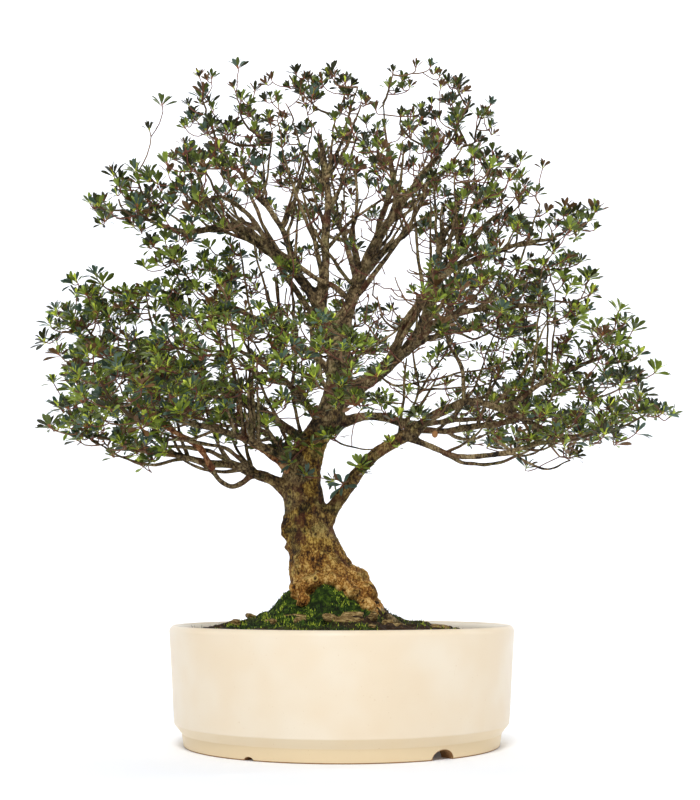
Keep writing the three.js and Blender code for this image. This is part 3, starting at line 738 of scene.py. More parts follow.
def glaze_finish():
    """Cream glaze, a shade warmer over the waist and the foot, faintly clouded, painted paler on
    the inside wall above the soil as painted light against its shade, with bare clay under the
    sole, in the recess and in the slots, each an oval over its notch."""
    finish = Finish("cream_glaze", Specular_IOR_Level=0.12, Coat_Weight=0.06, Coat_Roughness=0.25)
    height = finish.axis(finish.place(), "Z")
    flat = finish.place(centre=POT_AXIS, stretch=(1, 1, 0))
    from_axis = finish.node("ShaderNodeVectorMath", {"operation": "LENGTH"}, {0: flat}, "Value")
    cloud = finish.grain(70, detail=2)
    cream = finish.blend(finish.between(cloud, 0.3, 0.7), "f0e3cd", "eddbbf")
    foot = 1 - finish.between(height, *BAND["foot"])
    waist = 1 - finish.between(height, *BAND["waist"])
    warmed = finish.blend(waist * 0.35, cream, "ecd3a2")
    # Painted light: the inside wall above the soil is painted paler against the shade on it.
    within = 1 - finish.between(from_axis, *BAND["wall"])
    inside = finish.between(height, *BAND["inside"]) * within
    painted_light_inside = finish.blend(inside, warmed, "fff6e6")
    warm = finish.blend(foot * 0.8, painted_light_inside, "e8d2ab")
    speck = finish.between(finish.grain(2.2, detail=1), 0.72, 0.8)
    glazed = finish.blend(speck * 0.25, warm, "c9a878")
    recess = 1 - finish.between(from_axis, *BAND["recess"])
    recess = recess * (1 - finish.between(height, *BAND["recess_top"]))
    under = (1 - finish.between(height, *BAND["sole"])) + recess
    across, back = (finish.axis(finish.place(centre=POT_AXIS), name) for name in "XY")
    for angle, wide, high in NOTCHES:
        c, s = math.cos(math.radians(angle)), math.sin(math.radians(angle))
        aside = back * c - across * s
        oval = aside * aside * (2 / wide / MM) ** 2 + height * height * (1 / high / MM) ** 2
        outer = finish.between(across * c + back * s, *BAND["slot"])
        under = under + (1 - finish.between(oval, 1.1, 1.16)) * outer
    bare = finish.between(under, 0.2, 0.8)
    clay = finish.blend(finish.grain(3, detail=4), "8a6440", "b58c5f")
    finish.set("Base Color", finish.blend(bare, glazed, clay))
    finish.set("Roughness", 0.3 + bare * 0.5 + cloud * 0.1)
    finish.bump(finish.grain(14, detail=2), 0.12)
    return finish.material


def bark_finish(name, foot, upper, limb, growth):
    """Bark: a run of colours from its cracks to its ridges for the trunk's foot, for its upper part
    and for thin limbs, darkened partly as painted shade where the skin sinks in, with green-brown
    growth in patches and near-black pits whose colour is painted shade in their hollows."""
    finish = Finish(name, Specular_IOR_Level=0.25)
    height = finish.axis(finish.place(), "Z")
    fine = finish.grain(1.8, detail=5, roughness=0.74, stretch=(1, 1, 0.65))
    cloud = finish.grain(13, detail=4, roughness=0.62, stretch=(1, 1, 0.6))
    relief = finish.attribute("relief")
    grains = finish.cells(3.2)
    # The relief's share paints shade where the skin sinks in; the rest is the bark's own tone.
    bark_tone_and_crevice_shade = relief * 0.14 + fine * 0.85 + cloud * 0.55 - 0.1 - grains * 0.14
    places = (0.32, 0.43, 0.5, 0.575, 0.68)
    runs = [finish.ramp(bark_tone_and_crevice_shade, list(zip(places, codes))) for codes in (foot, upper, limb, growth)]
    up = finish.between(height + cloud * 0.07, 0.165, 0.25)
    trunk = finish.blend(up, runs[0], runs[1])
    slim = 1 - finish.between(finish.attribute("size"), 3.5, 11)
    thin = 1 - (1 - slim) * (1 - finish.between(height + cloud * 0.05, 0.31, 0.37))
    ground = finish.blend(thin, trunk, runs[2])
    patches = finish.between(finish.grain(17, detail=4, roughness=0.65), 0.5, 0.62)
    grown = finish.blend(patches * 0.4, ground, runs[3])
    red = finish.between(finish.grain(18, detail=3, stretch=(1.2, 0.8, 1)), 0.54, 0.66)
    ruddy = finish.blend(red * up * 0.6, grown, "56291d")
    pits = finish.cells(21)
    # Painted shade: each pit's hollow is coloured near black.
    pit_hollow_and_shade = (1 - finish.between(pits, 0.05, 0.11)) * (1 - thin)
    ring = finish.between(pits, 0.09, 0.12) * (1 - finish.between(pits, 0.13, 0.17)) * (1 - thin)
    ringed = finish.blend(ring * 0.85, ruddy, "d6b662")
    finish.set("Base Color", finish.blend(pit_hollow_and_shade * 0.8, ringed, "1b1109"))
    finish.set("Roughness", 0.74 + fine * 0.2)
    finish.bump(fine + finish.grain(1.1, detail=2) * 0.35 - grains * 0.5 - pit_hollow_and_shade * 1.2, 1.6)
    return finish.material


def soil_finish():
    """Dark crumbly soil with moss where the moss attribute says; the moss runs from painted shade
    between its lumps to its own greens.
    """
    finish = Finish("mossy_soil", Specular_IOR_Level=0.2)
    crumb = finish.grain(3.5, detail=4, roughness=0.7)
    lumps = finish.grain(5, detail=4, roughness=0.7)
    earth = finish.ramp(crumb, [(0.3, "1a120b"), (0.55, "3a2a1b"), (0.75, "6b533a")])
    # The moss's dark end is painted shade between its lumps, the rest its own greens.
    green = finish.ramp(lumps, [(0.34, "0e1508"), (0.52, "25370d"), (0.7, "5c7420")])
    moss = finish.between(finish.attribute("moss") + crumb * 0.4, 0.5, 0.8)
    finish.set("Base Color", finish.blend(moss, earth, green))
    finish.set("Roughness", 0.95)
    finish.bump(crumb + finish.grain(1.2, detail=2) * 0.5, 1.2)
    return finish.material


def chip_finish():
    """Weathered bark: dark cracks to pale ridges along streaky noise."""
    finish = Finish("weathered_chip", Specular_IOR_Level=0.25)
    streak = finish.grain(3.2, detail=5, roughness=0.75, stretch=(0.5, 1, 2.2))
    stops = [(0.36, "1a1109"), (0.48, "7a5f32"), (0.62, "cbb078")]
    finish.set("Base Color", finish.ramp(streak, stops))
    finish.set("Roughness", 0.85)
    finish.bump(streak, 2.0)
    return finish.material


def plain_finish(name, code, roughness, **fixed):
    """One plain colour, for small pieces whose colours are dealt out by spray."""
    finish = Finish(name, **fixed)
    finish.set("Base Color", code)
    finish.set("Roughness", roughness)
    return finish.material


GLAZE = glaze_finish()
BARK = bark_finish(
    "azalea_bark",
    ("180b04", "502f0e", "8c5b24", "c38a3c", "f0cb84"),
    ("100a04", "32200e", "583c18", "806026", "c8a650"),
    ("15110c", "33281c", "584830", "7a6646", "aa966e"),
    ("14140b", "31300f", "55542a", "757440", "9a9462"),
)
RUDDY = ("241008", "5a321c", "8a5632", "a8744a", "cb9d6c")
RUDDY_GROWTH = ("1c160c", "45381c", "6b5a34", "8c7a4e", "ad9b70")
RUDDY_BARK = bark_finish("ruddy_bark", RUDDY, RUDDY, RUDDY, RUDDY_GROWTH)
CUT_WOOD = plain_finish("cut_wood", "a9794c", 0.7, Specular_IOR_Level=0.2)
SOIL = soil_finish()
CHIP = chip_finish()
LEAF_LOOK = {"Specular_IOR_Level": 0.32, "Coat_Weight": 0.06, "Coat_Roughness": 0.2}
# Leaves' finishes by what they are called in the deal: name, colour and roughness.
LEAF_TINTS = {
    "deep": ("leaf_deep_green", "586526", 0.42),
    # Partly the leaves' own bluish green, partly a painted sheen of the sky on their gloss.
    "bluish_with_sheen": ("leaf_bluish_green_and_sheen", "516656", 0.38),
    "dark": ("leaf_dark_green", "36381e", 0.42),
    "fresh": ("leaf_fresh_green", "889a3a", 0.45),
    "bronze": ("leaf_bronze", "6c4e2e", 0.5),
    "young": ("leaf_young_shoot", "dcea58", 0.5),
    "heart": ("leaf_foot_green", "c4cc48", 0.5),
    "ruddy": ("leaf_foot_ruddy", "a0623a", 0.55),
}
LEAVES = [plain_finish(*tint, **LEAF_LOOK) for tint in LEAF_TINTS.values()]
TINTS = list(LEAF_TINTS)
TWIGS = [
    plain_finish(*tint, Specular_IOR_Level=0.2)
    for tint in (
        ("twig_young_red_brown", "74483a", 0.75),
        ("twig_tan", "80634a", 0.85),
        ("twig_grey_brown", "54442f", 0.9),
    )
]
# The darkest moss tint is painted shade among the moss.
MOSSES = [
    plain_finish(*tint)
    for tint in (
        ("moss_green", "3e5c14", 0.9), ("moss_bright", "b2c23c", 0.9), ("moss_painted_shade", "141c08", 0.95)
    )
]

# ---------------------------------------------------------------- pot


def lathe(profile, columns):
    """A closed turned shape: each profile point (distance from the axis, height) makes a ring,
    and a pole on the axis closes each end."""
    profile = np.asarray(profile, float)
    poles = np.array([[0, 0, profile[0, 1]], [0, 0, profile[-1, 1]]])
    return closed_skin(polar(profile[:, :1], circle(columns), profile[:, 1:]), poles)


def round_corner(before, corner, after, radius):
    """Points of a rounded corner: the quadratic curve that leaves and meets the two straight
    sides that far from the corner."""
    before, corner, after = (np.array(p, float) for p in (before, corner, after))
    start = corner + unit(before - corner) * radius
    end = corner + unit(after - corner) * radius
    return bezier(start, corner, end, CORNER_POINTS)


def pot_profile():
    """The pot's half section, from under its middle round the foot, wall and lip to its floor."""
    inside = POT_RADIUS - POT_WALL
    corners = [
        ((3, POT_RECESS["height"]), 0),
        ((POT_RECESS["radius"], POT_RECESS["height"]), 1),
        ((POT_RECESS["radius"] + 1, 0), 0.8),
        ((POT_SOLE, 0), 1.5),
        ((POT_FOOT["radius"], POT_FOOT["height"]), 1.2),
        ((POT_WAIST["radius"], POT_WAIST["height"]), 1.2),
        ((POT_RADIUS, POT_HEIGHT - 4), 2),
        ((POT_RADIUS - 3, POT_HEIGHT), 2),
        ((inside + 3, POT_HEIGHT), 2),
        ((inside, POT_HEIGHT - 4), 2),
        ((POT_WAIST["radius"] - POT_WALL, POT_WAIST["height"] + 8), 4),
        ((POT_WAIST["radius"] - POT_WALL - 8, POT_FLOOR), 4),
        ((3, POT_FLOOR), 0),
    ]
    places = [corner for corner, _ in corners]
    points = [np.array([places[0]], float)]
    for k in range(1, len(corners) - 1):
        points.append(round_corner(places[k - 1], places[k], places[k + 1], corners[k][1]))
    points.append(np.array([places[-1]], float))
    return np.concatenate(points)


def notch_cutter(angle, width, height):
    """A slot through the foot ring, round at its top: an arch of half-width and height, drawn
    across the ring and carried outwards from inside it."""
    arch = np.linspace(0, math.pi, 13)
    across = np.concatenate([width / 2 * np.cos(arch), [-width / 2, width / 2]])
    up = np.concatenate([height * np.sin(arch) ** 0.8, [-3, -3]])
    turn = math.radians(angle)
    out = np.array([math.cos(turn), math.sin(turn), 0])
    side = np.array([-math.sin(turn), math.cos(turn), 0])
    rings = [
        out * distance + side * across[:, None] + np.array([0, 0, 1]) * up[:, None]
        for distance in (POT_RECESS["radius"] - 6, POT_FOOT["radius"] + 8)
    ]
    return closed_skin(np.stack(rings), np.stack([ring.mean(axis=0) for ring in rings]))


def make_pot():
    """The turned pot, from which each notch is cut, with edges past 35 degrees kept sharp."""
    pot = piece("cream_pot", [(lathe(pot_profile(), POT_COLUMNS), 0)], [GLAZE], ["pot"])
    for k, notch in enumerate(NOTCHES):
        shape = bpy.data.meshes.new(f"notch_{k}")
        points, sides, ends = notch_cutter(*notch)
        faces = [*sides.tolist(), *ends.tolist()]
        shape.from_pydata((points * MM + POT_AXIS).tolist(), [], faces)
        cutter = place_in_scene(f"notch_{k}", shape)
        cut = pot.modifiers.new("notch", "BOOLEAN")
        cut.operation = "DIFFERENCE"
        cut.object = cutter
        bpy.context.view_layer.objects.active = pot
        bpy.ops.object.modifier_apply(modifier=cut.name)
        bpy.data.objects.remove(cutter)
    pot.data.shade_smooth()
    pot.data.set_sharp_from_angle(angle=math.radians(35))
    return pot


# ---------------------------------------------------------------- soil and what lies on it

LEVEL = np.array([1.0, 1.0, 0.0])  # what brings a place down to the table


def ground_height(places):
    """The mound's height: its profile, cushions of moss from three sizes of noise, and for each
    swell its rise x hill(way across / half width, way back / half depth)."""
    x, y = places[..., 0], places[..., 1]
    distance = np.hypot(x, y)
    base = np.interp(distance, *zip(*MOUND))
    flat = places * LEVEL
    inner = 1 - smooth_step(distance, 140, 160)
    cushions = 2 * noise(flat, 19, 3) + 2.8 * noise(flat, 9, 4) + 1.8 * noise(flat, 4, 5)
    height = base + inner * cushions
    for rise, at_x, at_y, wide, deep in SWELLS:
        height = height + rise * hill((x - at_x) / wide, (y - at_y) / deep)
    return height


def moss_share(places):
    """How mossy the ground is, from 0 to 1: most in front of the trunk and on its left."""
    near = hill((places[..., 0] + 34) / 62, (places[..., 1] + 30) / 80)
    return np.clip(0.15 + 0.95 * near + 0.35 * noise(places * LEVEL, 26, 8), 0, 1)


def make_soil():
    """A disc of ground whose rings follow ground_height, closed by a side and a floor."""
    angles = circle(GROUND["columns"])
    rings = np.linspace(2, GROUND["radius"], GROUND["rings"])[::-1]
    top = polar(rings[:, None], angles, 0.0)
    top[..., 2] = ground_height(top)
    below = [polar(radius, angles, height) for radius, height in GROUND["below"]]
    poles = np.array([[0, 0, GROUND["below"][0][1]], [0, 0, float(top[-1, :, 2].mean())]])
    shape = closed_skin(np.concatenate([np.stack(below), top]), poles)
    marks = {"moss": moss_share(shape[0])}
    piece("mossy_ground", [(shape, 0)], [SOIL], ["soil"], marks)


def make_moss():
    """Thousands of moss sprigs: three-sided spikes a few millimetres high that lean a little."""
    rng = np.random.default_rng(11)
    count = MOSS["tries"]
    angle = rng.uniform(0, 2 * math.pi, count)
    radius = MOSS["within"] * np.sqrt(rng.uniform(0.02, 1, count))
    foot = polar(radius, angle, 0.0)
    foot = foot[rng.uniform(0.15, 1.1, count) < moss_share(foot)]
    foot[:, 2] = ground_height(foot) - 0.6
    count = len(foot)
    tuft = 1 + 0.8 * noise(foot, 7, 12)[:, None]
    height = rng.uniform(*MOSS["height"], (count, 1)) * tuft
    lean = rng.normal(0, 0.35, (count, 2))
    up = unit(np.concatenate([lean, np.ones((count, 1))], axis=1))
    turn = rng.uniform(0, 2 * math.pi, (count, 1)) + np.arange(3) * 2 * math.pi / 3
    wide = rng.uniform(*MOSS["wide"], (count, 1))
    base = foot[:, None] + polar(wide, turn, 0.0)
    vertices = np.concatenate([base, (foot + up * height)[:, None]], axis=1).reshape(-1, 3)
    sides = np.array([[0, 1, 3], [1, 2, 3], [2, 0, 3], [0, 2, 1]])
    faces = repeated(sides, count, 4)
    # Sprigs in the dark patches take the painted-shade tint.
    patch = noise(foot, 12, 13) + 0.6 * noise(foot, 5, 14) + rng.normal(0, 0.22, count)
    tint = np.repeat(np.select([patch > 0.26, patch < -0.1], [1, 2], 0), 4)
    piece("moss_sprigs", [((vertices, faces), [tint])], MOSSES, smooth=False)


def lump(centre, reach, turn, tilt, seed):
    """A rough stone or chip: a ball drawn out to its reach along x, y and z, pushed in and out by
    noise, turned about its length and then about the vertical."""
    ball, quads, caps = ball_shape((0, 0, 0), (1, 1, 1), 11, 18)
    rough = 0.34 * noise(ball + seed * 7, 0.9, seed) + 0.14 * noise(ball + seed * 5, 0.35, seed)
    ball = np.sign(ball) * np.abs(ball) ** 0.8 * (1 + rough[:, None]) * np.array(reach)
    for angle, (a, b) in ((tilt, (1, 2)), (turn, (0, 1))):
        c, s = math.cos(angle), math.sin(angle)
        ball[:, [a, b]] = ball[:, [a, b]] @ np.array([[c, s], [-s, c]])
    return ball + np.array(centre), quads, caps


def make_chips():
    """Each chip or stone is a lump, bedded in the ground by about a quarter of its height."""
    parts = []
    for seed, (x, y, reach, turn, tilt) in enumerate(CHIPS):
        height = float(ground_height(np.array([x, y, 0.0])))
        parts.append((lump((x, y, height + 0.5 * reach[2]), reach, turn, tilt, seed), 0))
    piece("bark_chips", parts, [CHIP], smooth=False)


# ---------------------------------------------------------------- trunk and boughs

TRUNK_LINE = smooth_line(TRUNK[:, :3], LINE_POINTS)


def trunk_radius(z):
    """The stations' radius at a height, straight between them."""
    return np.interp(z, TRUNK[:, 2], TRUNK[:, 3])


def turn_from(angle, other):
    """Degrees from one compass angle to the other, from -180 to 180."""
    return (angle - other + 180) % 360 - 180


def root_swell(z, degrees):
    """Swelling of the foot over its surface roots, 1 where there is none."""
    share = 1 - smooth_step(z, SEAT, FLARE_TOP)
    swell = -0.08
    for angle, rise in ROOTS:
        swell = swell + rise * hill(turn_from(degrees, angle) / ROOT_WIDTH)
    return 1 + share * swell


def bark_relief(points, size):
    """Ridges and cracks of bark, about -1 to 1: lumps, folded ridges and grit, drawn out
    upwards."""
    drawn = points * np.array([1, 1, 0.72])
    lumps = noise(drawn, size, 22)
    folds = 1 - 2.4 * np.abs(noise(drawn, size * 1.7, 24))
    grit = noise(drawn, size * 0.45, 23)
    return 0.45 * lumps + 0.35 * folds + 0.35 * grit


def ball_shape(centre, reach, rows=14, columns=20):
    """A ball drawn out to its reach along x, y and z."""
    rise = np.linspace(-1, 1, rows + 2)[1:-1] * math.pi / 2
    profile = np.stack([np.cos(rise), np.sin(rise)], axis=1)
    vertices, quads, caps = lathe(profile, columns)
    vertices[-2:, 2] = -1, 1
    return vertices * np.array(reach) + np.array(centre), quads, caps


def trunk_shape():
    """Level rings round the trunk's line: radius = station radius x root swelling + burls."""
    rows, columns = 300, 200
    line = evenly(TRUNK_LINE, rows)
    z = line[:, 2:]
    degrees = np.linspace(0, 360, columns, endpoint=False)[None, :]
    radius = trunk_radius(z) * root_swell(z, degrees)
    for angle, height, half_width, half_height, rise in BURLS:
        across = np.radians(turn_from(degrees, angle)) * radius
        radius = radius + rise * hill(across / half_width, (z - height) / half_height)
    around = np.stack([np.cos(np.radians(degrees)), np.sin(np.radians(degrees))], axis=-1)
    skin = np.concatenate(
        [line[:, None, :2] + radius[..., None] * around, np.repeat(z, columns, 1)[..., None]],
        axis=-1,
    )
    return closed_skin(skin, np.stack([line[0], line[-1] + [0, 0, 2]]))


class Limb:
    """A bough: its line from root to tip, its radii, and its mass of foliage if it has one."""

    def __init__(self, name, parent_line, parent_radius, share, bends, girth, at=None, reach=None):
        start = parent_line[round(share * (len(parent_line) - 1))]
        self.name = name
        self.line = smooth_line([start, *bends], LINE_POINTS)
        self.length = length_of(self.line)
        self.girth = girth
        self.collar = parent_radius
        self.bare = parent_radius + 0.3 * self.length
        self.direction = unit(self.line[-1] - self.line[-4])
        self.at = None if at is None else np.array(at, float)
        self.reach = None if reach is None else np.array(reach, float)
        if at is not None:
            self.stem = self.grow_stem()

    def grow_stem(self):
        """The stem leads on from the tip to a hub below the mass's middle."""
        root = self.line[-1]
        hub = self.at - [0, 0, 0.3 * self.reach[2]]
        hub = hub + 0.25 * (root - hub)
        bend = root + self.direction * 0.4 * np.linalg.norm(hub - root)
        return evenly(bezier(root, bend, hub, 60), 9)

    def radius(self, share):
        """Straight from the root's radius to the tip's."""
        return self.girth[0] + (self.girth[1] - self.girth[0]) * share


def lay_out_limbs():
    """Every bough by its name, each after the one it springs from."""
    limbs = {}
    for name, (parent, share, bends, girth, *mass) in BOUGHS.items():
        if parent == "trunk":
            line = TRUNK_LINE
            radius = float(trunk_radius(line[round(share * (LINE_POINTS - 1)), 2]))
        else:
            line = limbs[parent].line
            radius = limbs[parent].radius(share)
        limbs[name] = Limb(name, line, radius, share, bends, girth, *mass)
    return limbs


LIMBS = lay_out_limbs()
MASSES = [limb for limb in LIMBS.values() if limb.at is not None]
FOLIAGE = [f"foliage_{limb.name}" for limb in MASSES]


def limb_shape(limb):
    """A bough is a tube whose radius tapers, flares where it leaves its parent and swells at
    knots, and whose line wanders."""
    rings = max(16, round(limb.length / BOUGH["step"]))
    line = evenly(limb.line, rings)
    share = np.linspace(0, 1, rings)
    beyond = np.maximum(share * limb.length - limb.collar, 0)
    radius = limb.radius(share) * (1 + BOUGH["flare"] * np.exp(-beyond / limb.girth[0]))
    radius = radius * (1 - BOUGH["slimmed"] * smooth_step(share, 0.06, 0.3))
    radius = radius * (1 + 0.12 * noise(line, 22, 31) + 0.1 * noise(line, 9, 32))
    line = line + BOUGH["wander"] * smooth_step(share, 0, 0.1)[:, None] * wander(line, 22, 33)
    return tubes(line[None], radius[None], BOUGH["sides"])


def stem_shape(limb):
    """A mass's stem, which tapers on from its bough's tip."""
    share = np.linspace(0, 1, len(limb.stem))
    return tubes(limb.stem[None], (limb.girth[1] * (1 - 0.45 * share))[None], 12)


def tendril(start, end, points):
    """A bare stem's wandering line and its radii, which swell at knots."""
    line = smooth_line(points, max(24, round(length_of(np.array(points, float)) / 2.5)))
    line = line + 1.3 * wander(line, 13, 36)
    radii = np.linspace(start, end, len(line)) * (1 + 0.22 * noise(line, 7, 39))
    return line, radii


def side_stems(rng):
    """Stems that branch from every bough: the way along the bough turned aside and upwards."""
    grown = []
    for limb in LIMBS.values():
        for _ in range(round(limb.length / SIDE_STEMS["gap"])):
            share = rng.uniform(0.3, 0.98)
            at = round(share * (LINE_POINTS - 1))
            start = limb.line[at]
            along = unit(limb.line[min(at + 3, LINE_POINTS - 1)] - limb.line[at - 3])
            aside = unit(np.cross(along, rng.normal(0, 1, 3)))
            way = unit(0.6 * along + 0.75 * aside + [0, 0, 0.45])
            span = rng.uniform(*SIDE_STEMS["length"])
            end = start + way * span + np.array([0, 0, 0.3 * span])
            if crown_fill(end[None])[0] > 0.2 and seen_inside(end[None])[0]:
                thick = min(0.5 * limb.radius(share), SIDE_STEMS["thick"])
                points = [start, start + way * 0.5 * span, end]
                grown.append((*tendril(thick, SIDE_STEMS["tip"], points), 0))
    return grown


def wood_size(points):
    """Radius of the trunk or bough nearest to each point."""
    places, radii = WOOD_AT[:LIMB_BALLS], WOOD_RADIUS[:LIMB_BALLS]
    sizes = [
        radii[np.linalg.norm(part[:, None] - places, axis=-1).argmin(axis=1)]
        for part in np.array_split(points, max(1, len(points) // 4000))
    ]
    return np.concatenate(sizes)


def make_wood():
    """Trunk, knuckles, boughs and the masses' stems are grown into one skin on a fine lattice, so
    that they run into each other, and the skin is smoothed and pushed out and in as bark."""
    shapes = [trunk_shape(), *(ball_shape(k[:3], k[3:]) for k in KNUCKLES)]
    shapes += [limb_shape(limb) for limb in LIMBS.values()]
    shapes += [stem_shape(limb) for limb in MASSES]
    nodes = ["trunk", *(f"bough_{name}" for name in LIMBS)]
    wood = piece("trunk_and_boughs", [(shape, 0) for shape in shapes], [BARK], nodes)
    bpy.context.view_layer.objects.active = wood
    remesh = wood.modifiers.new("grow_together", "REMESH")
    remesh.mode = "VOXEL"
    remesh.voxel_size = WOOD_LATTICE * MM
    remesh.use_smooth_shade = True
    smooth = wood.modifiers.new("soften", "SMOOTH")
    smooth.factor = 0.5
    smooth.iterations = 3
    for modifier in list(wood.modifiers):
        bpy.ops.object.modifier_apply(modifier=modifier.name)
    mesh = wood.data
    places = np.empty(len(mesh.vertices) * 3, np.float32)
    normals = np.empty_like(places)
    mesh.vertices.foreach_get("co", places)
    mesh.vertices.foreach_get("normal", normals)
    points = (places.reshape(-1, 3).astype(float) - POT_AXIS) / MM
    size = wood_size(points)
    relief = bark_relief(points, 4.2)
    depth = np.clip(size * 0.1, 0.15, 1.7) + 0.6 * smooth_step(size, 30, 45)
    lumps = (noise(points, 15, 26) * 1.8 + noise(points, 8, 27) * 1.2) * smooth_step(size, 8, 30)
    push = relief * depth + lumps + 0.35 * (1 - smooth_step(size, 2, 5))
    points = points + normals.reshape(-1, 3) * push[:, None]
    mesh.vertices.foreach_set("co", (points * MM + POT_AXIS).astype(np.float32).ravel())
    mark(mesh, {"relief": relief, "size": size})
    mesh.update()
    mesh.shade_smooth()
    return wood


def make_stems():
    """Bare stems, surface roots and side stems, each a thin round limb."""
    parts, relief, size = [], [], []
    for line, radii, ruddy in STEM_LINES:
        shape = tubes(line[None], radii[None], STEM_SIDES)
        parts.append((shape, ruddy))
        relief.append(bark_relief(shape[0], 3.0))
        size += [np.repeat(radii, STEM_SIDES), radii[[0, -1]]]
    marks = {"relief": np.concatenate(relief), "size": np.concatenate(size)}
    piece("bare_stems", parts, [BARK, RUDDY_BARK], FOLIAGE, marks)
    piece("pruning_cut", [(ball_shape(*CUT), 0)], [CUT_WOOD])


# ---------------------------------------------------------------- foliage

MASS_AT = np.stack([limb.at for limb in MASSES])
MASS_REACH = np.stack([limb.reach for limb in MASSES])


def crown_fill(points):
    """How full of twigs the crown is at each point: every mass adds exp(-1.2 out^2), where out is
    the distance from its middle by its reach, and the loose growth adds its share of the same."""
    out = np.linalg.norm((points[:, None] - MASS_AT) / MASS_REACH, axis=-1)
    total = np.exp(-1.2 * out**2).sum(axis=1)
    for at, reach, share in LOOSE:
        out = np.linalg.norm((points - np.array(at)) / np.array(reach), axis=-1)
        total = total + share * np.exp(-1.2 * out**2)
    return total


def seen_inside(points, spare=0.0):
    """Whether each point, moved that much nearer the crown's heart, lies within the ring of the
    outermost shoots as the viewer sees it: a line sideways from it crosses the ring oddly."""
    moved = points + spare * unit(CROWN_HEART - points)
    nearer = VIEW_DISTANCE / (VIEW_DISTANCE + moved[:, 1])
    x = VIEW_X + (moved[:, 0] - VIEW_X) * nearer
    z = VIEW_HEIGHT + (moved[:, 2] - VIEW_HEIGHT) * nearer
    ring = np.array(EDGE_SHOOTS, float)
    (x1, z1), (x2, z2) = ring.T, np.roll(ring, -1, axis=0).T
    straddles = (z1 > z[:, None]) != (z2 > z[:, None])
    rise = np.where(z2 == z1, 1e-9, z2 - z1)
    crossing = x[:, None] < (x2 - x1) * (z[:, None] - z1) / rise + x1
    return (straddles & crossing).sum(axis=1) % 2 == 1


def wood_balls():
    """Trunk, boughs and stems as balls along their lines: their places and radii, and whether a
    twig may spring there."""
    trunk = evenly(TRUNK_LINE, 80)
    places = [trunk]
    radii = [trunk_radius(trunk[:, 2]) * root_swell(trunk[:, 2], 0)]
    bearing = [trunk[:, 2] > BARE_TRUNK]
    for limb in LIMBS.values():
        share = np.linspace(0, 1, math.ceil(limb.length / 4) + 1)
        places.append(evenly(limb.line, len(share)))
        radii.append(limb.radius(share))
        bearing.append(share * limb.length > limb.bare)
        if limb.at is not None:
            places.append(limb.stem)
            radii.append(np.full(len(limb.stem), limb.girth[1]))
            bearing.append(np.ones(len(limb.stem), bool))
    limbs = sum(len(part) for part in places)
    for line, thick, _ in STEM_LINES:
        places.append(line)
        radii.append(thick)
        bearing.append((line[:, 2] > 240) & (np.linspace(0, 1, len(line)) > 0.3))
    return np.concatenate(places), np.concatenate(radii), np.concatenate(bearing), limbs


STEM_LINES = [(*tendril(start, end, points), ruddy) for ruddy, start, end, points in STEMS]
STEM_LINES += side_stems(np.random.default_rng(23))
WOOD_AT, WOOD_RADIUS, WOOD_BEARING, LIMB_BALLS = wood_balls()


def clear_of_wood(points, clearance):
    """Whether each point is that far from the skin of every ball of wood."""
    away = np.linalg.norm(points[:, None] - WOOD_AT, axis=-1)
    return (away > WOOD_RADIUS + clearance).all(axis=1)


def main_tips(number):
    """The shoot tips that the solids have in one mass, wound over its upper side by the golden
    angle, with the way each points."""
    limb = MASSES[number]
    draw = Draws(number)
    phase = 2 * math.pi * draw()
    tips, axes = [], []
    for i in range(MAIN_SHOOTS):
        rise = 1 - (1 + DROOP) * (i + 0.5) / MAIN_SHOOTS
        level = math.sqrt(1 - rise * rise)
        turn = i * GOLDEN + phase
        out = np.array([level * math.cos(turn), level * math.sin(turn), rise])
        depth = 0.75 + 0.25 * draw()
        tips.append(limb.at + out * depth * (limb.reach - MAIN_INSET))
        axes.append(unit(0.6 * out + [0, 0, 0.7]))
    return np.array(tips), np.array(axes)


def kept_tips(tips):
    """Whether each of the solids' shoots stays: it's inside the crown's outline as seen, and not
    where the crown is open."""
    return seen_inside(tips, 6.0) & (crown_fill(tips) > 0.1)


def spacing_at(points):
    """How far apart shoots stand: closest low on the left, widest towards the top."""
    x, z = points[:, 0], points[:, 2]
    left = (1 - smooth_step(x, -120, 60)) * (1 - smooth_step(z, 430, 560))
    top = smooth_step(z, 460, 600)
    close, plain, wide = SPACING["close"], SPACING["plain"], SPACING["top"]
    return plain + (close - plain) * left + (wide - plain) * top


def strewn(rng, least_fill, tries, gap=None):
    """Places strewn through the crown where it is full enough, none nearer another than the gap,
    or than the spacing there."""
    low = (np.array(cad_box[0]) - POT_AXIS) / MM + EDGE
    high = (np.array(cad_box[1]) - POT_AXIS) / MM - EDGE
    drawn = rng.uniform(low, high, (tries, 3))
    drawn = drawn[crown_fill(drawn) > least_fill]
    drawn = drawn[seen_inside(drawn, -OUTLINE_SLACK)]
    drawn = drawn[clear_of_wood(drawn, CLEAR)]
    kept = np.zeros((0, 3))
    for point, space in zip(drawn, np.full(len(drawn), gap) if gap else spacing_at(drawn)):
        if not len(kept) or ((kept - point) ** 2).sum(axis=1).min() > space * space:
            kept = np.concatenate([kept, [point]])
    return kept


def outwards(tips, rng, astray):
    """The way each shoot points: up, outwards from the crown's heart, and a little astray."""
    out = unit(tips - CROWN_HEART)
    return unit(0.5 * out + [0, 0, 0.72] + rng.normal(0, astray, tips.shape))


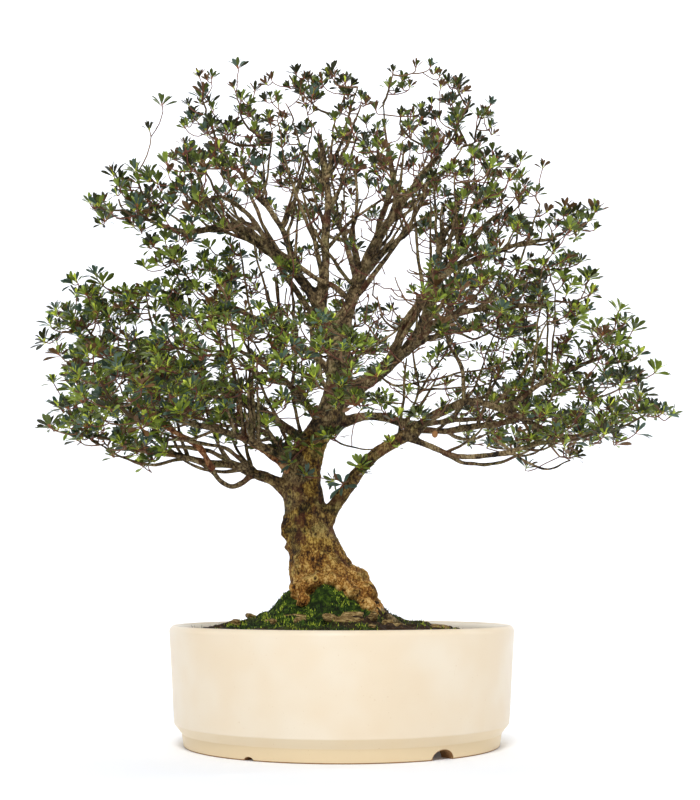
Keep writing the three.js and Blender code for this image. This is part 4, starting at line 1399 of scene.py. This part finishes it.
class Growth:
    """Twigs: their lines, what each hangs on, how many shoots each carries, and the forks at which
    the next may spring."""

    def __init__(self):
        bearing = np.flatnonzero(WOOD_BEARING)
        room = len(bearing) + 4 * TRIES
        self.lines, self.parents, self.loads, self.sizes = [], [], [], []
        self.forks = np.zeros((room, 3))
        self.ways = np.zeros(room)
        self.twigs = np.full(room, -1)
        self.count = 0
        self.add_forks(WOOD_AT[bearing], np.zeros(len(bearing)), -1)

    def add_forks(self, places, ways, twig):
        """Forks on one twig, and how far each is from the wood along the twigs."""
        end = self.count + len(places)
        self.forks[self.count : end] = places
        self.ways[self.count : end] = ways
        self.twigs[self.count : end] = twig
        self.count = end

    def cheapest(self, tip):
        """The fork with the least distance to the tip, plus a share of its way back along its
        twigs, plus a multiple of how far it lies above the tip."""
        forks = self.forks[: self.count]
        away = np.linalg.norm(forks - tip, axis=1)
        above = np.maximum(forks[:, 2] - tip[2] + 6, 0)
        return int(np.argmin(away + WAY_BACK * self.ways[: self.count] + CLIMB_DOWN * above))

    def grow(self, tip, axis, size, rng):
        """A twig from the cheapest fork to the tip, ending along its axis, or nearly straight on
        where it is leafless; every twig that it hangs on carries one shoot more."""
        fork = self.cheapest(tip)
        start, way = self.forks[fork], self.ways[fork]
        span = np.linalg.norm(tip - start)
        if not SHORTEST < span < LONGEST:
            return
        if size == LEAFLESS:
            axis = unit(0.35 * axis + (tip - start) / span)
        line = bezier(start, tip - axis * TWIG["pull"] * span, tip, TWIG["rings"])
        line[1:-1] += rng.normal(0, TWIG["astray"] * span, (TWIG["rings"] - 2, 3))
        twig = len(self.lines)
        self.lines.append(line)
        self.sizes.append(size)
        self.parents.append(int(self.twigs[fork]))
        self.loads.append(0)
        above = twig
        while above >= 0:
            self.loads[above] += 1
            above = self.parents[above]
        share = np.linspace(0, 1, TWIG["rings"])[2:-1]
        self.add_forks(line[2:-1], way + span * share, twig)


def grow_crown(rng):
    """Long and middling branchlets first, then leafless twigs, the solids' own shoots, the crown's
    outermost ones, the fine ones that fill it and those low on the wood, each time from the wood
    outwards."""
    growth = Growth()
    long = strewn(rng, LONG["from"], COARSE_TRIES, LONG["gap"])
    long = long[crown_fill(long) < LONG["until"]]
    middle = strewn(rng, MIDDLE_SIZED["from"], COARSE_TRIES, MIDDLE_SIZED["gap"])
    main, main_axes = (np.concatenate(side) for side in zip(*map(main_tips, range(len(MASSES)))))
    kept = kept_tips(main)
    edge = np.array([(x, 0.0, z) for x, z in EDGE_SHOOTS])
    edge[:, 1] = rng.uniform(-EDGE_DEPTH, EDGE_DEPTH, len(edge))
    fine = strewn(rng, FULL_FROM, TRIES)
    low, low_sizes = np.split(np.array(LOW_SHOOTS), [3], axis=1)
    bare = np.concatenate(
        [rng.normal(0, 1, (count, 3)) * reach + at for count, at, reach in BARE_TWIGS]
    )
    bare = bare[clear_of_wood(bare, CLEAR - 1)]
    stages = [
        (long, outwards(long, rng, 0.15), 1.0),
        (middle, outwards(middle, rng, 0.2), 1.0),
        (bare, outwards(bare, rng, 0.25), LEAFLESS),
        (main[kept], main_axes[kept], 1.0),
        (edge, outwards(edge, rng, 0.15), 1.0),
        (fine, outwards(fine, rng, 0.2), 1.0),
        (low, outwards(low, rng, 0.3), low_sizes.ravel()),
    ]
    for tips, axes, sizes in stages:
        sizes = np.broadcast_to(sizes, len(tips))
        away = np.linalg.norm(tips[:, None] - WOOD_AT[WOOD_BEARING], axis=-1).min(axis=1)
        for k in np.argsort(away):
            growth.grow(tips[k], axes[k], sizes[k], rng)
    return growth


def twig_radius(load):
    """The tip's radius times the shoots that hang on it to the power of its growth."""
    return TWIG["tip"] * np.maximum(load, 1) ** TWIG["growth"]


# A leaf blade's rows along its length: share of the length, and of the widest place, obovate.
BLADE_ROWS = [(0.0, 0.14), (0.25, 0.3), (0.5, 0.74), (0.72, 1.0), (0.9, 0.7)]


def leaves(feet, along, up, lengths, widths, fold, curl):
    """Leaf blades: rows of left edge, midrib and right edge, and a tip.

    A place is foot + along x length x u + across x v x half width x w(u) + up x (fold |v| w(u)
    half width - curl length u^2), so that the blade is folded along its rib and curls over.
    """
    across = np.cross(up, along)
    rows = np.array(BLADE_ROWS)
    u = np.concatenate([np.repeat(rows[:, 0], 3), [1.0]])
    w = np.concatenate([np.repeat(rows[:, 1], 3), [0.0]])
    v = np.concatenate([np.tile([-1.0, 0.0, 1.0], len(rows)), [0.0]])
    lengths, widths, fold, curl = (a[:, None, None] for a in (lengths, widths, fold, curl))
    u, v, w = (a[None, :, None] for a in (u, v, w))
    feet, along, across, up = (a[:, None, :] for a in (feet, along, across, up))
    lift = fold * np.abs(v) * w * widths / 2 - curl * lengths * u**2
    places = feet + along * lengths * u + across * v * w * widths / 2 + up * lift
    count, per_leaf = places.shape[:2]
    quads = []
    for row in range(len(BLADE_ROWS) - 1):
        a = 3 * row
        quads += [[a, a + 1, a + 4, a + 3], [a + 1, a + 2, a + 5, a + 4]]
    tip = per_leaf - 1
    ends = np.array([[tip - 3, tip - 2, tip], [tip - 2, tip - 1, tip]])
    sides = repeated(np.array(quads), count, per_leaf)
    return places.reshape(-1, 3), sides, repeated(ends, count, per_leaf)


def rosettes(tips, axes, sizes, rng, kind):
    """Whorls of leaves round shoot tips: leaf i stands golden angle x i round the axis, opened
    from it by an angle that closes towards the whorl's heart."""
    low, high = kind["count"]
    opening = kind["opening"]
    number = rng.integers(low, high + 1, len(tips))
    owner = np.repeat(np.arange(len(tips)), number)
    order = np.concatenate([np.arange(n) for n in number]) if len(number) else np.zeros(0)
    share = order / np.maximum(number[owner] - 1, 1)
    axis = axes[owner]
    side = unit(np.cross(axis, np.array([0.31, 0.95, 0.11])))
    other = np.cross(axis, side)
    spin = rng.uniform(0, 2 * math.pi, len(tips))[owner] + order * GOLDEN
    spin = spin + rng.normal(0, 0.15, len(owner))
    out = side * np.cos(spin)[:, None] + other * np.sin(spin)[:, None]
    angle = np.radians(opening[0] + (opening[1] - opening[0]) * share)
    closed = 1 - 0.3 * smooth_step(tips[owner, 2], 400, 560)
    angle = (angle * closed + rng.normal(0, 0.14, len(owner)))[:, None]
    along = axis * np.cos(angle) + out * np.sin(angle)
    up = axis * np.sin(angle) - out * np.cos(angle)
    roll = rng.normal(0, kind["roll"], len(owner))[:, None]
    up = up * np.cos(roll) + np.cross(along, up) * np.sin(roll)
    size = (sizes * rng.uniform(0.82, 1.18, len(tips)))[owner]
    lengths = kind["length"] * size * (1 - 0.25 * share) * rng.uniform(0.88, 1.12, len(owner))
    widths = lengths * kind["width"] * rng.uniform(0.88, 1.12, len(owner))
    feet = tips[owner] - axis * (WHORL_DEPTH * (1 - share))[:, None]
    fold = rng.uniform(0.1, 0.5, len(owner))
    curl = rng.uniform(0.0, 0.26, len(owner))
    return owner, leaves(feet, along, up, lengths, widths, fold, curl)


def spray_tints(tips, rng):
    """A tint for each whorl: bluer and brighter low on the left, browner at the top. The bluish
    tint is partly the leaves' own blue-green and partly a painted sheen of the sky on their gloss.
    """
    high = smooth_step(tips[:, 2], 470, 640)
    left = (1 - smooth_step(tips[:, 0], -150, 60)) * (1 - high)
    weights = {
        "deep": 0.36 - 0.06 * high,
        # The bluish tint, with its painted sheen, is dealt out most low on the left.
        "bluish_with_sheen": 0.08 + 0.16 * left,
        "dark": 0.26 + 0.12 * high - 0.1 * left,
        "fresh": 0.22 - 0.12 * high + 0.06 * left,
        "bronze": 0.1 + 0.14 * high,
    }
    shares = np.stack([w + 0 * high for w in weights.values()], axis=1).cumsum(axis=1)
    drawn = rng.uniform(size=len(tips)) * shares[:, -1]
    return (drawn[:, None] > shares).sum(axis=1)


def by_face(tints, feet):
    """Numbers of finishes for each blade's four-sided faces, of which the first two are in its
    foot's tint, and for the two at its tip."""
    rows = len(BLADE_ROWS) - 1
    sides = np.repeat(tints[:, None], 2 * rows, axis=1)
    sides[:, :2] = feet[:, None]
    return [sides.ravel(), np.repeat(tints, 2)]


def dress(tips, axes, sizes, rng):
    """Leaves for some of the shoots: a whorl on each tip in one dealt tint, with odd leaves in
    others, and a tuft of young leaves in the hearts of some, most low on the left."""
    owner, blades = rosettes(tips, axes, sizes, rng, LEAF)
    tints = spray_tints(tips, rng)[owner]
    odd = rng.uniform(size=len(owner)) < ODD_SHARE
    tints[odd] = spray_tints(tips[owner], rng)[odd]
    high = smooth_step(tips[:, 2], 450, 620)
    ruddy = rng.uniform(size=len(tips)) < RUDDY_SHARE + 0.4 * high
    feet = np.where(ruddy, TINTS.index("ruddy"), TINTS.index("heart"))[owner]
    parts = [(blades, by_face(tints, feet))]
    low = (1 - smooth_step(tips[:, 2], 380, 560)) * (1 - smooth_step(tips[:, 0], -60, 120))
    chosen = rng.uniform(size=len(tips)) < YOUNG_SHARE + 0.3 * low
    owner, blades = rosettes(tips[chosen], axes[chosen], sizes[chosen], rng, YOUNG)
    young = np.full(len(owner), TINTS.index("young"))
    parts.append((blades, by_face(young, young)))
    return parts


def twig_shapes(lines, loads):
    """Twigs by the finish that their age gives them, each tapering from the radius of the shoots
    that it carries."""
    foot = twig_radius(loads)[:, None]
    end = np.maximum(twig_radius(loads * 0.4), TWIG["tip"] * 0.8)[:, None]
    radii = end + (foot - end) * np.linspace(1, 0, TWIG["rings"])
    age = np.searchsorted([2, 5], loads, side="right")
    shapes = []
    for number in range(len(TWIGS)):
        chosen = age == number
        shapes.append((tubes(lines[chosen], radii[chosen], TWIG["sides"]), number))
    return shapes


def side_shoots(lines, axes, rng):
    """Short shoots beside the tips, none to two each, so that whorls stand in tufts: they leave
    the twig a little below its tip and end beside it, lower and leaning outwards."""
    number = rng.integers(TUFT["count"][0], TUFT["count"][1] + 1, len(lines))
    owner = np.repeat(np.arange(len(lines)), number)
    axis = axes[owner]
    aside = unit(np.cross(axis, rng.normal(0, 1, axis.shape)))
    sideways = rng.uniform(*TUFT["aside"], (len(owner), 1))
    below = rng.uniform(*TUFT["below"], (len(owner), 1))
    start, end = lines[owner, -2], lines[owner, -1] + aside * sideways - axis * below
    ways = unit(axis + 0.55 * aside)
    grown = bezier(start, end - ways * TUFT["straight"], end, TWIG["rings"])
    kept = seen_inside(grown[:, -1], TUFT["spare"])
    return grown[kept], ways[kept], owner[kept]


def whorl_sizes(tips):
    """Each whorl's size, smaller deep in the crown, at its top and round its fork and larger at
    its sides, and the chance that the shoot is leafless, highest round the fork."""
    x, z = tips[:, 0], tips[:, 2]
    buried = smooth_step(crown_fill(tips), 0.5, 1.1)
    aside = 1 - smooth_step(x, -230, -60) + smooth_step(x, 200, 300)
    top = smooth_step(z, 470, 600)
    inner = hill((x - 8) / 100, (z - 495) / 95)
    sizes = (1.03 - 0.22 * buried) * (1 + 0.16 * aside - 0.1 * top) * (1 - 0.12 * inner)
    return sizes, 0.35 * inner + 0.3 * buried * top


def make_foliage():
    """Grows the crown, and joins its twigs and its leaves, each kind apart."""
    rng = np.random.default_rng(5)
    growth = grow_crown(rng)
    lines, loads = np.stack(growth.lines), np.array(growth.loads)
    tips = lines[:, -1]
    axes = unit(unit(tips - lines[:, -2]) + [0, 0, 0.75])
    sizes, bare = whorl_sizes(tips)
    sizes = sizes * np.array(growth.sizes)
    leafy = (rng.uniform(size=len(tips)) > bare) & (sizes > LEAFLESS)
    beside, ways, owner = side_shoots(lines[leafy], axes[leafy], rng)
    all_lines = np.concatenate([lines, beside])
    all_loads = np.concatenate([loads, np.zeros(len(beside), int)])
    piece("crown_twigs", twig_shapes(all_lines, all_loads), TWIGS, FOLIAGE)
    sizes = np.concatenate([sizes[leafy], TUFT["size"] * sizes[leafy][owner]])
    tips = np.concatenate([tips[leafy], beside[:, -1]])
    axes = np.concatenate([axes[leafy], ways])
    group = np.argsort(tips[:, 0], kind="stable")
    for k, chosen in enumerate(np.array_split(group, LEAF_PIECES)):
        parts = dress(tips[chosen], axes[chosen], sizes[chosen], rng)
        piece(f"crown_leaves_{k + 1}", parts, LEAVES, FOLIAGE)


# ---------------------------------------------------------------- studio and viewer

MIDDLE = (0.0, 0.0, 0.35)  # of the tree, in metres
# Soft lights: name, place, width and height in metres, power, and the place that each faces. The
# key stands above the viewer, a strip on each side, and the last washes the wall.
LIGHTS = [
    ("key", (-0.15, -2.3, 2.5), (1.0, 1.0), 62, MIDDLE),
    ("left_strip", (-1.9, 0.6, 0.9), (0.1, 1.2), 4, MIDDLE),
    ("right_strip", (1.9, 0.5, 0.9), (0.1, 1.2), 7, MIDDLE),
    ("back_wash", (0.0, 1.0, 3.2), (4.0, 1.5), 110, (0.0, 3.6, 1.2)),
]
SURROUND = 0.44  # how bright the soft surround is
# The backdrop in metres: where its floor begins and ends, the curve up to its wall, its top and
# how far it reaches aside.
SWEEP = {"front": -6.0, "back": 2.4, "curve": 1.2, "top": 6.0, "side": 7.0}


def area_light(name, place, size, power, aim):
    """A soft rectangular light that faces a place: turned about the vertical by the way's compass
    angle, and tipped from straight down by atan(level distance / drop)."""
    data = bpy.data.lights.new(name, "AREA")
    data.energy = power
    data.shape = "RECTANGLE"
    data.size, data.size_y = size
    light = place_in_scene(name, data)
    light.location = place
    towards = np.array(aim) - np.array(place)
    yaw = math.atan2(towards[1], towards[0]) - math.pi / 2
    pitch = math.atan2(math.hypot(towards[0], towards[1]), -towards[2])
    light.rotation_euler = (pitch, 0, yaw)


def make_studio():
    """A pale floor that sweeps up behind into a wall, a soft surround and the soft lights."""
    finish = Finish("pale_sweep", Roughness=0.9, Specular_IOR_Level=0.0, Emission_Strength=0.05)
    finish.set("Base Color", (0.90, 0.92, 0.96, 1.0))
    finish.set("Emission Color", (1.0, 1.0, 1.0, 1.0))
    front, back, curve, top, side = SWEEP.values()
    turn = np.linspace(0, math.pi / 2, 25)
    bend = [(back + curve * math.sin(a), curve - curve * math.cos(a)) for a in turn[1:]]
    profile = [(front, 0.0), (back, 0.0), *bend, (back + curve, top)]
    corners = [(x, y, z) for y, z in profile for x in (-side, side)]
    faces = [(2 * k, 2 * k + 1, 2 * k + 3, 2 * k + 2) for k in range(len(profile) - 1)]
    mesh = bpy.data.meshes.new("sweep")
    mesh.from_pydata(corners, [], faces)
    mesh.materials.append(finish.material)
    mesh.shade_smooth()
    place_in_scene("sweep", mesh)
    world = bpy.data.worlds.new("surround")
    world.use_nodes = True
    sky = world.node_tree.nodes["Background"].inputs
    sky["Color"].default_value = (1.0, 1.0, 1.0, 1.0)
    sky["Strength"].default_value = SURROUND
    bpy.context.scene.world = world
    bpy.context.scene.view_settings.view_transform = "Standard"
    for light in LIGHTS:
        area_light(*light)


def make_camera():
    """The viewer stands low in front of the pot, a little above its rim, and looks up."""
    data = bpy.data.cameras.new("viewer")
    data.sensor_width = 36
    data.lens = VIEW_LENS
    camera = place_in_scene("viewer", data)
    camera.location = POT_AXIS + np.array([VIEW_X, -VIEW_DISTANCE, VIEW_HEIGHT]) * MM
    camera.rotation_euler = (math.radians(90 + VIEW_RISE), 0, 0)
    bpy.context.scene.camera = camera


make_camera()
make_studio()
make_pot()
make_soil()
make_moss()
make_chips()
make_wood()
make_stems()
make_foliage()
